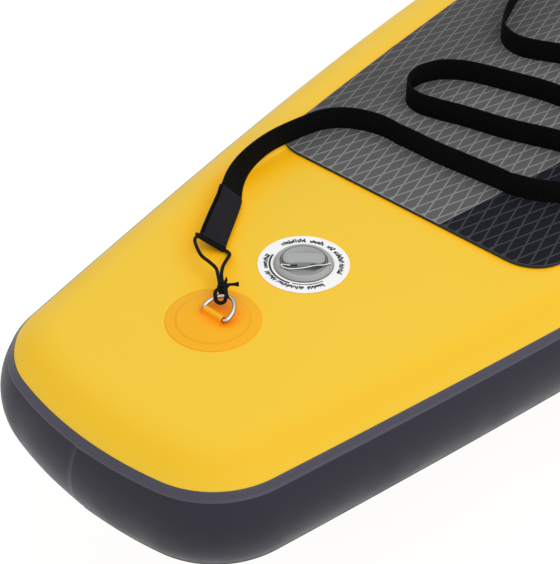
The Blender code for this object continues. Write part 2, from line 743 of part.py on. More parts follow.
def build_valve(paint):
    """Inflation valve: label, body, gasket, back nut, sprung poppet, cap, seal and tether."""
    y = VALVE_FROM_TAIL - LENGTH / 2
    place = (0, y, DECK)
    turned("valve_label", [(FLANGE_R + GAP, GAP), (VALVE_LABEL_R, GAP), (VALVE_LABEL_R, GAP + VALVE_LABEL_T),
                           (FLANGE_R + GAP, GAP + VALVE_LABEL_T)], ROUND, paint["label"], place)
    rim = FLANGE_H
    cup = rim - CUP_DEPTH
    seat = -BARREL_LENGTH + SEAT_T
    body = turned("valve_body", [
        (BARREL_BORE_R, cup - 0.0015), (CUP_R - 0.0015, cup), (CUP_R, cup + 0.0015), (CUP_R, rim - 0.0008),
        (CUP_R + 0.0010, rim), (FLANGE_R - 0.0045, rim - 0.0008), (FLANGE_R - 0.0008, FLANGE_EDGE),
        (FLANGE_R, GAP), (CUP_OUTER_R, GAP), (CUP_OUTER_R, cup - CUP_BASE_T), (BARREL_R, cup - CUP_BASE_T),
        (BARREL_R, -BARREL_LENGTH), (SEAT_BORE_R, -BARREL_LENGTH), (SEAT_BORE_R, seat),
        (BARREL_BORE_R, seat)], ROUND, paint["valve"], place)
    hub = cylinder("hub", HUB_R, (0, y, DECK + HUB_Z - HUB_H), (0, y, DECK + HUB_Z), paint["valve"], 16)
    spokes = []
    for turn in (0, 90):
        angle = math.radians(turn)
        reach = (BARREL_BORE_R + 0.001) * Vector((math.cos(angle), math.sin(angle), 0))
        across = SPOKE_W / 2 * Vector((-math.sin(angle), math.cos(angle), 0))
        corner = reach + across
        low = Vector((0, y, DECK + HUB_Z - HUB_H)) - Vector((abs(corner.x), abs(corner.y), 0))
        high = Vector((0, y, DECK + HUB_Z)) + Vector((abs(corner.x), abs(corner.y), 0))
        spokes.append(block(f"spoke_{turn}", low, high, paint["valve"]))
    boolean(body, 'UNION', hub, *spokes)
    guide = cylinder("guide", STEM_R + RUN, (0, y, DECK + HUB_Z - 2 * HUB_H), (0, y, DECK + HUB_Z + HUB_H),
                     paint["valve"], 16)
    boolean(body, 'DIFFERENCE', guide)

    under_core = -PLY - 2 * GAP - CORE_PLY
    gasket_low = under_core - GASKET_T
    bore = CUP_OUTER_R + GAP
    turned("valve_gasket", [(bore, under_core), (NUT_R, under_core), (NUT_R, gasket_low),
                            (bore, gasket_low)], ROUND, paint["rubber"], place)
    nut_top = gasket_low - GAP
    turned("valve_nut", [(bore, nut_top), (NUT_R, nut_top), (NUT_R, nut_top - NUT_H * 0.4),
                         (NUT_R * 0.9, nut_top - NUT_H * 0.5), (NUT_R * 0.9, nut_top - NUT_H),
                         (bore, nut_top - NUT_H)], ROUND, paint["valve"], place)

    top = -BARREL_LENGTH - GAP
    turned("valve_poppet", [
        (0, KNOB_Z + KNOB_T), (KNOB_R, KNOB_Z + KNOB_T), (KNOB_R, KNOB_Z), (STEM_R, KNOB_Z), (STEM_R, top),
        (POPPET_R, top), (POPPET_R, top - POPPET_T), (0, top - POPPET_T)], SMALL_ROUND, paint["poppet"], place)
    low, high = HUB_Z + GAP + SPRING_WIRE_R, KNOB_Z - GAP - SPRING_WIRE_R
    coil_r = HUB_R - SPRING_WIRE_R
    per_turn = 8
    helix = []
    for step in range(SPRING_TURNS * per_turn + 1):
        turn = 2 * math.pi * step / per_turn
        height = low + (high - low) * step / (SPRING_TURNS * per_turn)
        helix.append((coil_r * math.cos(turn), y + coil_r * math.sin(turn), DECK + height))
    wire("valve_spring", helix, SPRING_WIRE_R, paint["steel"], sides=5)

    floor = cup + GAP
    seal_mid = floor + ORING_R
    under = seal_mid + ORING_R + GAP
    disc_r = CUP_R - 2 * GAP
    lip = under + CAP_FLOOR_T + CAP_BOWL_H
    cap = turned("valve_cap", [
        (0, under), (BARREL_BORE_R - GAP - CAP_SKIRT_T, under),
        (BARREL_BORE_R - GAP - CAP_SKIRT_T, under - CAP_SKIRT_L), (BARREL_BORE_R - GAP, under - CAP_SKIRT_L),
        (BARREL_BORE_R - GAP, under), (disc_r, under), (disc_r, lip), (disc_r - CAP_LIP_W, lip),
        (disc_r - CAP_LIP_W - CAP_BOWL_W / 3, under + CAP_FLOOR_T + CAP_BOWL_H / 3),
        (disc_r - CAP_LIP_W - CAP_BOWL_W, under + CAP_FLOOR_T), (0, under + CAP_FLOOR_T)],
        ROUND, paint["valve"], place)
    half = CAP_BAR_HALF
    bar_outline = rounded([(-half, -CAP_BAR_W / 2), (half, -CAP_BAR_W / 2), (half, CAP_BAR_W / 2),
                           (-half, CAP_BAR_W / 2)], [CAP_BAR_W * 0.42] * 4, 4)
    flat = half - CAP_BAR_W * 0.42
    for share in (-0.6, -0.2, 0.2, 0.6):
        waist = CAP_BAR_WAIST * (1 - share * share)
        bar_outline.append((share * flat, waist - CAP_BAR_W / 2))
    bar_outline.sort(key=lambda point: math.atan2(point[1], point[0]))
    bar = slab("bar", bar_outline, DECK + under + CAP_FLOOR_T / 2, DECK + under + CAP_BAR_H, paint["valve"],
               follow_rocker=False)
    turn = Matrix.Translation((0, y, 0)) @ Matrix.Rotation(math.radians(CAP_BAR_TURN), 4, 'Z')
    bar.data.transform(turn)
    boolean(cap, 'UNION', bar)
    seal_r = (BARREL_BORE_R + CUP_R) / 2 - 0.001
    seal = []
    for step in range(ROUND):
        turn = 2 * math.pi * step / ROUND
        seal.append((seal_r * math.cos(turn), y + seal_r * math.sin(turn), DECK + seal_mid))
    wire("valve_cap_seal", seal, ORING_R, paint["rubber"], sides=5, closed=True)

    over_rim = DECK + rim + GAP + TETHER_R
    hang = smooth_run([(px, y + py, over_rim) for px, py in TETHER_ROUTE], TETHER_SAMPLES)
    wire("valve_tether", [Vector(row) for row in hang], TETHER_R, paint["tether"], sides=5)


def build_handle(paint):
    """Centre carry handle: webbing held down by two patches, with a padded grip."""
    middle = HANDLE_FROM_TAIL - LENGTH / 2
    base = DECK + GAP
    for end, side in (("aft", -1), ("fore", 1)):
        round_patch(f"handle_patch_{end}", [(0, 0), (HANDLE_PATCH_R, 0), (HANDLE_PATCH_R - PATCH_T, PATCH_T * 2),
                                            (0, PATCH_T * 2)], 0, middle + side * HANDLE_HALF, paint["deck"])
    flat = base + 2 * PATCH_T + GAP + HANDLE_WEB_T / 2
    top = base + HANDLE_RISE
    shape = [(-HANDLE_HALF - HANDLE_PATCH_R * 0.7, flat), (-HANDLE_HALF - HANDLE_PATCH_R * 0.2, flat),
             (-HANDLE_HALF + HANDLE_PATCH_R * 0.35, flat + 0.002), (-HANDLE_GRIP_HALF - 0.016, top - 0.004),
             (-HANDLE_GRIP_HALF, top)]
    run = [(0, middle + along, height) for along, height in shape]
    run += [(0, middle - along, height) for along, height in reversed(shape)]
    stations = [((x, y, max(z, flat) + rocker(y)), 0) for x, y, z in smooth_run(run, HANDLE_SAMPLES)]
    strap("handle_webbing", stations, HANDLE_WEB_W, HANDLE_WEB_T, paint["webbing"])
    half = HANDLE_GRIP_HALF * 0.92
    corners = [(-GRIP_W / 2, -GRIP_H / 2), (GRIP_W / 2, -GRIP_H / 2), (GRIP_W / 2, GRIP_H / 2),
               (-GRIP_W / 2, GRIP_H / 2)]
    outline = rounded(corners, [GRIP_H * 0.45] * 4, 4)
    bm = bmesh.new()
    rings = []
    for along, scale in ((-half, 0.82), (-half * 0.92, 1.0), (half * 0.92, 1.0), (half, 0.82)):
        rings.append([bm.verts.new((x * scale, middle + along, top + z * scale)) for x, z in outline])
    for here, after in zip(rings, rings[1:]):
        for step in range(len(outline)):
            other = (step + 1) % len(outline)
            bm.faces.new((here[step], here[other], after[other], after[step]))
    bm.faces.new(rings[0])
    bm.faces.new(rings[-1])
    grip = finish("handle_grip", bm, paint["neoprene"])
    room = (HANDLE_WEB_W / 2 + GAP, HANDLE_WEB_T / 2 + GAP + 0.0006)
    slot = block("slot", (-room[0], middle - 2 * half, top - room[1]), (room[0], middle + 2 * half, top + room[1]),
                 paint["neoprene"])
    boolean(grip, 'DIFFERENCE', slot)


def build_fin(paint):
    """Surface-mounted fin box with a track, and the fin that slides in it."""
    middle = FIN_BOX_FROM_TAIL - LENGTH / 2
    plate_top = HULL_BOTTOM - GAP
    outline = rounded([(-FIN_PLATE_W / 2, middle - FIN_PLATE_L / 2), (FIN_PLATE_W / 2, middle - FIN_PLATE_L / 2),
                       (FIN_PLATE_W / 2, middle + FIN_PLATE_L / 2), (-FIN_PLATE_W / 2, middle + FIN_PLATE_L / 2)],
                      [FIN_PLATE_W * 0.42] * 4, 5)
    slab("fin_box_patch", outline, plate_top - FIN_PLATE_T, plate_top, paint["wall"], follow_rocker=False)
    box_top = plate_top - FIN_PLATE_T - GAP
    mouth = box_top - FIN_BOX_H
    box = block("fin_box", (-FIN_BOX_W / 2, middle - FIN_BOX_L / 2, mouth),
                (FIN_BOX_W / 2, middle + FIN_BOX_L / 2, box_top), paint["box"], 0.004, 2)
    slot_outline = rounded([(-SLOT_W / 2, middle - SLOT_L / 2), (SLOT_W / 2, middle - SLOT_L / 2),
                            (SLOT_W / 2, middle + SLOT_L / 2), (-SLOT_W / 2, middle + SLOT_L / 2)],
                           [SLOT_W * 0.45] * 4, 3)
    slot = slab("slot", slot_outline, mouth - SLOT_W, mouth + SLOT_DEPTH, paint["box"], follow_rocker=False)
    track = block("track", (-TRACK_W / 2, middle - SLOT_L / 2 + SLOT_W, mouth + TRACK_FLOOR),
                  (TRACK_W / 2, middle + SLOT_L / 2 - SLOT_W, mouth + TRACK_FLOOR + TRACK_H), paint["box"])
    drop_in = block("drop_in", (-TRACK_W / 2, middle - TRACK_NUT_L, mouth - SLOT_W),
                    (TRACK_W / 2, middle + TRACK_NUT_L, mouth + TRACK_FLOOR + TRACK_H), paint["box"])
    boolean(box, 'DIFFERENCE', slot, track, drop_in)

    # The tab fills the slot; its front end is notched above and below for the screw and the track nut
    tab_front = middle + FIN_TAB_L / 2
    tab_rear = tab_front - FIN_TAB_L
    notch_rear = tab_front - SCREW_NOTCH_L
    screw_y = tab_front - SCREW_NOTCH_L / 2
    nut_low = mouth + TRACK_FLOOR + GAP
    plate_top = nut_low - GAP
    plate_low = plate_top - SCREW_PLATE_T
    tab_low = mouth - RUN - PIN_R
    side_view = [(tab_rear, tab_low), (notch_rear, tab_low), (notch_rear, plate_low), (tab_front, plate_low),
                 (tab_front, plate_top), (notch_rear, plate_top), (notch_rear, mouth + FIN_TAB_H),
                 (tab_rear, mouth + FIN_TAB_H)]
    bm = bmesh.new()
    face = bm.faces.new([bm.verts.new((-FIN_TAB_W / 2, y, z)) for y, z in side_view])
    extruded = bmesh.ops.extrude_face_region(bm, geom=[face])
    moved = [item for item in extruded["geom"] if isinstance(item, bmesh.types.BMVert)]
    bmesh.ops.translate(bm, verts=moved, vec=(FIN_TAB_W, 0, 0))
    fin = finish("centre_fin", bm, paint["fin"])

    # The blade hangs from the tab, raked aft, with a lens-shaped section
    bm = bmesh.new()
    rings = []
    across = 5
    levels = 7
    for level in range(levels + 1):
        share = level / levels
        chord = FIN_ROOT + (FIN_TIP - FIN_ROOT) * share ** 1.6
        if level == levels:
            chord = FIN_TIP * 0.55
        lead = notch_rear - RUN - FIN_SWEEP * share ** 1.7
        height = (mouth - RUN) * (1 - share)
        ring = []
        for side in (1, -1):
            for step in range(across + 1):
                place = step / across if side == 1 else 1 - step / across
                if side == -1 and step in (0, across):
                    continue
                fat = FIN_EDGE + FIN_T / 2 * (1 - 0.72 * share) * math.sin(math.pi * place) ** 0.7
                if step in (0, across):
                    fat = 0.0
                ring.append(bm.verts.new((side * fat, lead - chord * place, height)))
        rings.append(ring)
    for here, after in zip(rings, rings[1:]):
        for step in range(len(here)):
            other = (step + 1) % len(here)
            bm.faces.new((here[step], here[other], after[other], after[step]))
    bm.faces.new(rings[0])
    bm.faces.new(rings[-1])
    blade = finish("blade", bm, paint["fin"])
    boolean(fin, 'UNION', blade)
    pin_y = tab_rear + 3 * PIN_R
    pin_z = mouth + TRACK_FLOOR + TRACK_H / 2
    pin_hole = cylinder("pin_hole", PIN_R + GAP, (-SLOT_W, pin_y, pin_z), (SLOT_W, pin_y, pin_z), paint["fin"], 12)
    screw_hole = cylinder("screw_hole", SCREW_R + GAP, (0, screw_y, plate_low - PIN_R),
                          (0, screw_y, plate_top + PIN_R), paint["fin"], 12)
    boolean(fin, 'DIFFERENCE', pin_hole, screw_hole)
    cylinder("fin_pin", PIN_R, (-PIN_L / 2, pin_y, pin_z), (PIN_L / 2, pin_y, pin_z), paint["steel"], 12)
    nut = block("fin_track_nut", (-TRACK_W / 2 + RUN, screw_y - TRACK_NUT_L / 2, nut_low),
                (TRACK_W / 2 - RUN, screw_y + TRACK_NUT_L / 2, nut_low + TRACK_NUT_H), paint["steel"])
    nut_bore = cylinder("nut_bore", SCREW_R + GAP, (0, screw_y, nut_low - TRACK_NUT_H),
                        (0, screw_y, nut_low + 2 * TRACK_NUT_H), paint["steel"], 12)
    boolean(nut, 'DIFFERENCE', nut_bore)
    head_top = plate_low - GAP - mouth
    tip = nut_low + TRACK_NUT_H + GAP - mouth
    screw = turned("fin_screw", [
        (0, tip), (SCREW_R, tip), (SCREW_R, head_top), (SCREW_HEAD_R, head_top),
        (SCREW_HEAD_R, head_top - SCREW_HEAD_H), (0, head_top - SCREW_HEAD_H)],
        16, paint["steel"], (0, screw_y, mouth))
    head_low = mouth + head_top - SCREW_HEAD_H
    drive = block("drive", (-SCREW_HEAD_R * 2, -DRIVE_W / 2, head_low - DRIVE_W),
                  (SCREW_HEAD_R * 2, DRIVE_W / 2, head_low + DRIVE_W), paint["steel"])
    drive.location.y = screw_y
    boolean(screw, 'DIFFERENCE', drive)


def leash_place(x, y, lean, width=WEB_W):
    """A station of the leash: its middle line over whatever it stands on, and its lean."""
    over = width / 2 * math.sin(math.radians(lean)) + WEB_T / 2 * math.cos(math.radians(lean))
    onto_pad = min(max((y + RING_Y - (PAD_TAIL - LENGTH / 2) + 0.060) / 0.034, 0.0), 1.0)
    ground = DECK + GAP + RUN + (PAD_TOP - DECK) * onto_pad
    return (x, y + RING_Y, ground + over, lean)


def build_leash(paint, ring):
    """Leash: knot and string on the tail ring, tab, webbing laid in folds, and the ankle cuff."""
    route = [leash_place(*LEASH_ROUTE[0], TAB_W + TAB_T)]
    route += [leash_place(*station) for station in LEASH_ROUTE[1:]]
    run = smooth_run(route, LEASH_SAMPLES)
    strap("leash_webbing", [(row[:3], row[3]) for row in run], WEB_W, WEB_T, paint["webbing"])

    start = Vector((TAB_START[0], TAB_START[1] + RING_Y, 0))
    end = Vector(run[0][:3])
    over = (TAB_W / 2 + 2 * STRING_R) * math.sin(math.radians(TAB_START[2])) + STRING_R
    start.z = DECK + 2 * GAP + over
    way = (end - start).normalized()
    away = (Vector(run[1][:3]) - end).normalized()
    end -= away * GAP
    first = start + way * HEM_R * 0.8
    stations = [(first, TAB_START[2]), (end - away * 0.012, run[0][3] - 1), (end, run[0][3])]
    tab = strap("leash_tab", stations, TAB_W, TAB_T, paint["neoprene"])
    port = Vector((0, 0, 1)).cross(way).normalized()
    turn = math.radians(TAB_START[2])
    across = port * math.cos(turn) + way.cross(port) * math.sin(turn)
    hem_half = TAB_W / 2 - GAP
    hem = cylinder("hem", HEM_R, start - across * hem_half, start + across * hem_half, paint["neoprene"], 12)
    boolean(tab, 'UNION', hem)
    bore = cylinder("hem_bore", STRING_R + RUN, start - across * TAB_W, start + across * TAB_W,
                    paint["neoprene"], 10)
    boolean(tab, 'DIFFERENCE', bore)

    # The string's turns round the ring's bow, with the knot and its loose end above them
    at = math.radians(KNOT_TURN)
    bow = Vector((RING_HALF_W * math.cos(at),
                  RING_CORNER_R + (RING_DEPTH - RING_CORNER_R) * math.sin(at), 0))
    tangent = Vector((-RING_HALF_W * math.sin(at), (RING_DEPTH - RING_CORNER_R) * math.cos(at), 0)).normalized()
    outward = Vector((tangent.y, -tangent.x, 0))
    outward *= math.copysign(1, outward.y)
    up = Vector((0, 0, 1))
    turns = []
    count = round(KNOT_TURNS * 12)
    for step in range(count + 1):
        share = step / count
        angle = math.radians(60) + 2 * math.pi * KNOT_TURNS * share
        centre = bow + tangent * KNOT_PITCH * KNOT_TURNS * (0.5 - share)
        turns.append(centre + (outward * math.cos(angle) + up * math.sin(angle)) * KNOT_R)
    knot = wire("leash_knot", turns, KNOT_WRAP_R, paint["string"], sides=7)
    ball_at = bow + (outward * 0.86 + up * 0.5).normalized() * (KNOT_R + KNOT_BALL_R)
    ball = round_ball("ball", ball_at, KNOT_BALL_R, paint["string"])
    free_end = ball_at + Vector(KNOT_TAIL_WAY).normalized() * KNOT_TAIL
    tail = cylinder("tail", STRING_R, ball_at + (free_end - ball_at) * 0.1, free_end, paint["string"], 9)
    for piece in (ball, tail):
        boolean(knot, 'UNION', piece)
    knot.matrix_world = ring.matrix_world.copy()
    bpy.context.view_layer.update()

    ball_at = ring.matrix_world @ ball_at
    high_end = start + across * (TAB_W / 2 + 2 * STRING_R)
    low_end = start - across * (TAB_W / 2 + 2 * STRING_R)
    off = KNOT_BALL_R + STRING_R + GAP
    raised = Vector((0, RING_Y, DECK))
    high = [raised + Vector(place) for place in HIGH_STRAND]
    low = [raised + Vector(place) for place in LOW_STRAND]
    toward = ((high[-1] + low[-1]) / 2 - ball_at).normalized()
    apart = Vector((toward.y, -toward.x, 0)).normalized() * (STRING_R + GAP)
    along = [ball_at + toward * off - apart] + high[::-1]
    along += [high_end] + [start + across * TAB_W * share for share in (0.52, 0.4, 0, -0.4, -0.52)] + [low_end]
    along += low + [ball_at + toward * off + apart]
    loop = smooth_run([tuple(point) for point in along], STRING_SAMPLES)
    curve = bpy.data.curves.new("leash_string", 'CURVE')
    curve.dimensions = '3D'
    curve.bevel_depth = STRING_R
    curve.bevel_resolution = 1
    curve.use_fill_caps = True
    spline = curve.splines.new('POLY')
    spline.points.add(len(loop) - 1)
    for point, place in zip(spline.points, loop):
        point.co = (*place, 1)
    curve.materials.append(paint["string"])
    string = bpy.data.objects.new("leash_string", curve)
    bpy.context.scene.collection.objects.link(string)

    last = Vector(run[-1][:3])
    heading = (last - Vector(run[-2][:3])).normalized()
    mouth = last + heading * GAP
    far = mouth + heading * ANCHOR_L
    foot = PAD_TOP + GAP
    lift = Vector((0, 0, foot + CUFF_W * 0.8 / 2 - last.z))
    strap("cuff_anchor", [(mouth + lift, 90), (far + lift, 90)], CUFF_W * 0.8, ANCHOR_T, paint["neoprene"])
    overlap = math.radians(CUFF_OVERLAP)
    outer = CUFF_R + CUFF_T + GAP
    centre = far + heading * (CUFF_R + CUFF_T / 2 + GAP)
    centre.z = foot + CUFF_W / 2
    toward = math.atan2(-heading.y, -heading.x)
    spiral = []
    steps = 36
    for step in range(steps + 1):
        share = step / steps
        turned_by = share * (2 * math.pi + overlap)
        lifted = min(max((turned_by - 2 * math.pi) / math.radians(CUFF_RISE) + 1, 0.0), 1.0)
        radius = CUFF_R + (outer - CUFF_R) * lifted * lifted * (3 - 2 * lifted)
        angle = toward + math.radians(CUFF_OVERLAP) + turned_by
        spiral.append(((centre.x + radius * math.cos(angle), centre.y + radius * math.sin(angle), centre.z), 90))
    strap("ankle_cuff", spiral, CUFF_W, CUFF_T, paint["neoprene"])


def main():
    """Build every sub-part."""
    clear_scene()
    paint = {
        "deck": material("deck_pvc", (0.92, 0.60, 0.05), 0.45),
        "bottom": material("bottom_pvc", (0.92, 0.60, 0.05), 0.45),
        "rail": material("rail_pvc", (0.045, 0.045, 0.058), 0.40),
        "wall": material("wall_pvc", (0.05, 0.05, 0.06), 0.50),
        "core": material("core_cloth", (0.80, 0.80, 0.78), 0.85),
        "pad_grey": material("pad_grey_foam", (0.095, 0.095, 0.10), 0.85),
        "pad_dark": material("pad_dark_foam", (0.018, 0.020, 0.026), 0.85),
        "patch": material("patch_pvc", (0.93, 0.46, 0.02), 0.45),
        "steel": material("stainless_steel", (0.80, 0.80, 0.80), 0.20, 1.0),
        "label": material("label_film", (0.93, 0.93, 0.93), 0.40),
        "valve": material("valve_plastic", (0.32, 0.34, 0.33), 0.45),
        "poppet": material("poppet_plastic", (0.10, 0.10, 0.11), 0.50),
        "rubber": material("seal_rubber", (0.03, 0.03, 0.03), 0.70),
        "tether": material("tether_line", (0.85, 0.85, 0.85), 0.50),
        "webbing": material("webbing", (0.012, 0.012, 0.013), 0.85),
        "neoprene": material("tab_fabric", (0.016, 0.016, 0.019), 0.80),
        "string": material("string", (0.010, 0.011, 0.013), 0.80),
        "box": material("fin_box_plastic", (0.02, 0.02, 0.022), 0.45),
        "fin": material("fin_plastic", (0.02, 0.02, 0.022), 0.35),
    }
    build_hull(paint)
    build_pads(paint)
    tail_ring = build_ring("tail", RING_OFF_CENTRE, RING_Y, TAIL_RING_LIFT, paint)
    build_ring("nose", 0, NOSE_RING_FROM_TAIL - LENGTH / 2, NOSE_RING_LIFT, paint)
    bpy.context.view_layer.update()
    build_valve(paint)
    build_handle(paint)
    build_fin(paint)
    build_leash(paint, tail_ring)


main()
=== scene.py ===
# %% [markdown]
# # An inflatable stand-up paddleboard
#
# The board is an air chamber: a deck cloth and a bottom cloth joined by thousands of threads, closed all
# round by a wall, with a dark band glued over the rail. Foam pads, two towing rings, a valve, a carry
# handle, a fin and a leash are fixed to it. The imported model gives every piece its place. This script
# builds what the eye sees around it, piece by piece, each one modelled as the real piece is made.

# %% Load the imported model
import math
import random
from contextlib import contextmanager

import bmesh
import bpy
import numpy as np
from mathutils import Matrix, Vector


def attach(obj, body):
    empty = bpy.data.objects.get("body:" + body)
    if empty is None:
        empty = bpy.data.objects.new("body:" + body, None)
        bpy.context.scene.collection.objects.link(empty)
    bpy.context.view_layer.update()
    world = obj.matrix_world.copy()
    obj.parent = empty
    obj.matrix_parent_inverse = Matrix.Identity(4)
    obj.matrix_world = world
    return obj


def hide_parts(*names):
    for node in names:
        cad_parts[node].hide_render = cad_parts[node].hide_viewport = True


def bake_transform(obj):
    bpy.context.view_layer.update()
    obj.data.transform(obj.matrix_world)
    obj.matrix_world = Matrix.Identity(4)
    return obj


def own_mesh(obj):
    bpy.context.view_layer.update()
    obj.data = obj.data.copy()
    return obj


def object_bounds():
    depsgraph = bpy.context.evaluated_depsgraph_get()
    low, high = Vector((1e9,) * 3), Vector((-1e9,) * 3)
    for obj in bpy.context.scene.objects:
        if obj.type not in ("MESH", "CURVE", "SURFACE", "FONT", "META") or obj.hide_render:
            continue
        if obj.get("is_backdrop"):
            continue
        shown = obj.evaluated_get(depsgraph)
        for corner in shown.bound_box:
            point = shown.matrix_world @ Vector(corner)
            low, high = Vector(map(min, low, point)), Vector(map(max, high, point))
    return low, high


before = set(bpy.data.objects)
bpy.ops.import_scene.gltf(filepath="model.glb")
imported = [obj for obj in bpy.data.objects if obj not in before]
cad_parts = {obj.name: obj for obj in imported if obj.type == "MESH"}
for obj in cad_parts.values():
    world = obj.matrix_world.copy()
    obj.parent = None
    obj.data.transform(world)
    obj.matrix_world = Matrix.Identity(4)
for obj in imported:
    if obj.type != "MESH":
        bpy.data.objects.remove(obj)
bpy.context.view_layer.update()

# %% [markdown]
# ## The camera
#
# The camera comes first, because everything is judged from it. It stands behind the tail, to starboard and
# 0.86 m above the deck, and looks down along the board. Its axes are built from three angles, so that the
# view can be corrected one angle at a time.

# %% Place the camera
PICTURE_WIDTH = 560
FOCAL_PIXELS = 1300
SENSOR = 36.0
AZIMUTH, ELEVATION, ROLL = (math.radians(angle) for angle in (-42.22, 38.73, 0.64))
SHIFT_PIXELS = (-2, -1)
RING_AT = Vector((0.0, -1.396, 0.3486))          # deck level at the tail ring's station
RING_SEEN = Vector((-0.0655, -0.0417, 1.3263))   # that point from the camera: right, up, ahead

look = Vector((math.sin(AZIMUTH) * math.cos(ELEVATION), math.cos(AZIMUTH) * math.cos(ELEVATION),
               -math.sin(ELEVATION)))
level = Vector((math.cos(AZIMUTH), -math.sin(AZIMUTH), 0))
over = level.cross(look)
right = math.cos(ROLL) * level + math.sin(ROLL) * over
up = math.cos(ROLL) * over - math.sin(ROLL) * level
eye = RING_AT - (right * RING_SEEN.x + up * RING_SEEN.y + look * RING_SEEN.z)

bpy.ops.object.camera_add()
camera = bpy.context.object
camera.matrix_world = Matrix.Translation(eye) @ Matrix((right, up, -look)).transposed().to_4x4()
camera.data.sensor_width = SENSOR
camera.data.lens = FOCAL_PIXELS / PICTURE_WIDTH * SENSOR
camera.data.shift_x, camera.data.shift_y = (pixels / PICTURE_WIDTH for pixels in SHIFT_PIXELS)
camera.data.clip_start, camera.data.clip_end = 0.02, 60
bpy.context.scene.camera = camera
print("camera at", tuple(round(value, 3) for value in eye), "lens", round(camera.data.lens, 1), "mm")

# %% [markdown]
# ## Small tools
#
# Most pieces start from a primitive or a drawn line, and are shaped in edit mode. These few functions
# select by rule, extrude, spin and apply modifiers, so that each piece's own cell stays short.

# %% Select, open and close a piece
def only(piece):
    """Select one object and nothing else."""
    bpy.ops.object.select_all(action="DESELECT")
    piece.select_set(True)
    bpy.context.view_layer.objects.active = piece
    return piece


def pick(piece, faces=None, edges=None):
    """In edit mode, select the faces or edges that a rule says yes to."""
    bpy.ops.mesh.select_mode(type="FACE" if faces else "EDGE")
    bpy.ops.mesh.select_all(action="DESELECT")
    mesh = bmesh.from_edit_mesh(piece.data)
    mesh.normal_update()
    chosen = [item for item in (mesh.faces if faces else mesh.edges) if (faces or edges)(item)]
    for item in chosen:
        item.select = True
    mesh.select_flush_mode()
    bmesh.update_edit_mesh(piece.data)


@contextmanager
def editing():
    """Go into edit mode for the lines under it."""
    bpy.ops.object.mode_set(mode="EDIT")
    yield
    bpy.ops.object.mode_set(mode="OBJECT")


def modify(piece, kind, **settings):
    """Add a modifier, set it and apply it."""
    only(piece)
    modifier = piece.modifiers.new(kind.lower(), kind)
    for name, value in settings.items():
        setattr(modifier, name, value)
    bpy.ops.object.modifier_apply(modifier=modifier.name)


def close_up(piece, merge=1e-6, sharp=40.0):
    """Merge doubled points, turn all faces outwards and smooth the shading up to an angle."""
    only(piece)
    with editing():
        bpy.ops.mesh.select_all(action="SELECT")
        bpy.ops.mesh.remove_doubles(threshold=merge)
        bpy.ops.mesh.normals_make_consistent(inside=False)
    bpy.ops.object.transform_apply(location=True, rotation=True, scale=True)
    bpy.ops.object.shade_smooth_by_angle(angle=math.radians(sharp))
    return piece


def coat(piece, *finishes):
    """Give a piece its finishes, in the order in which its faces number them."""
    for made in finishes:
        piece.data.materials.append(made)


def face_out():
    """In edit mode, turn all faces outwards."""
    bpy.ops.mesh.select_all(action="SELECT")
    bpy.ops.mesh.normals_make_consistent(inside=False)


def thicken(offset):
    """In edit mode, extrude everything by an offset and leave a solid that faces outwards."""
    bpy.ops.mesh.select_all(action="SELECT")
    bpy.ops.mesh.extrude_region_move(TRANSFORM_OT_translate={"value": offset})
    face_out()


def seal_ends(piece):
    """Close the open ends of a skin."""
    only(piece)
    with editing():
        pick(piece, edges=lambda edge: edge.is_boundary)
        bpy.ops.mesh.edge_face_add()
        face_out()
    return piece


def joined_up(name, points, edges, faces):
    """A new object: points, and the edges or faces between them."""
    mesh = bpy.data.meshes.new(name)
    mesh.from_pydata([tuple(point) for point in points], edges, faces)
    piece = bpy.data.objects.new(name, mesh)
    bpy.context.scene.collection.objects.link(piece)
    return only(piece)


def drawn(name, points, closed=True, filled=False):
    """A line through points, as an open or closed wire or one face, and nothing else."""
    count = len(points)
    if filled:
        return joined_up(name, points, [], [range(count)])
    lines = [(here, (here + 1) % count) for here in range(count if closed else count - 1)]
    return joined_up(name, points, lines, [])


def loft(name, rings, ends="closed"):
    """A skin through rings of points: the first is drawn, and each one after is an extrusion of the last."""
    piece = drawn(name, rings[0])
    mesh = bmesh.new()
    mesh.from_mesh(piece.data)
    place = mesh.verts.layers.int.new("place")
    for number, vert in enumerate(mesh.verts):
        vert[place] = number
    mesh.to_mesh(piece.data)
    mesh.free()
    with editing():
        bpy.ops.mesh.select_mode(type="EDGE")
        bpy.ops.mesh.select_all(action="SELECT")
        if ends == "closed":
            bpy.ops.mesh.edge_face_add()
        for ring in rings[1:]:
            bpy.ops.mesh.extrude_edges_indiv() if ends == "open" else bpy.ops.mesh.extrude_region()
            mesh = bmesh.from_edit_mesh(piece.data)
            place = mesh.verts.layers.int["place"]
            for vert in mesh.verts:
                if vert.select:
                    vert.co = ring[vert[place]]
            bmesh.update_edit_mesh(piece.data)
    return piece


def spun(name, profile, centre, steps, sharp=40.0):
    """A turned piece: a profile of radius and height is drawn, and spun once round the upright at centre."""
    piece = drawn(name, [(radius, 0, height) for radius, height in profile], closed=profile[0][0] > 0)
    with editing():
        bpy.ops.mesh.select_all(action="SELECT")
        bpy.ops.mesh.spin(steps=steps, angle=2 * math.pi, center=(0, 0, 0), axis=(0, 0, 1))
    piece.location = centre
    return close_up(piece, sharp=sharp)


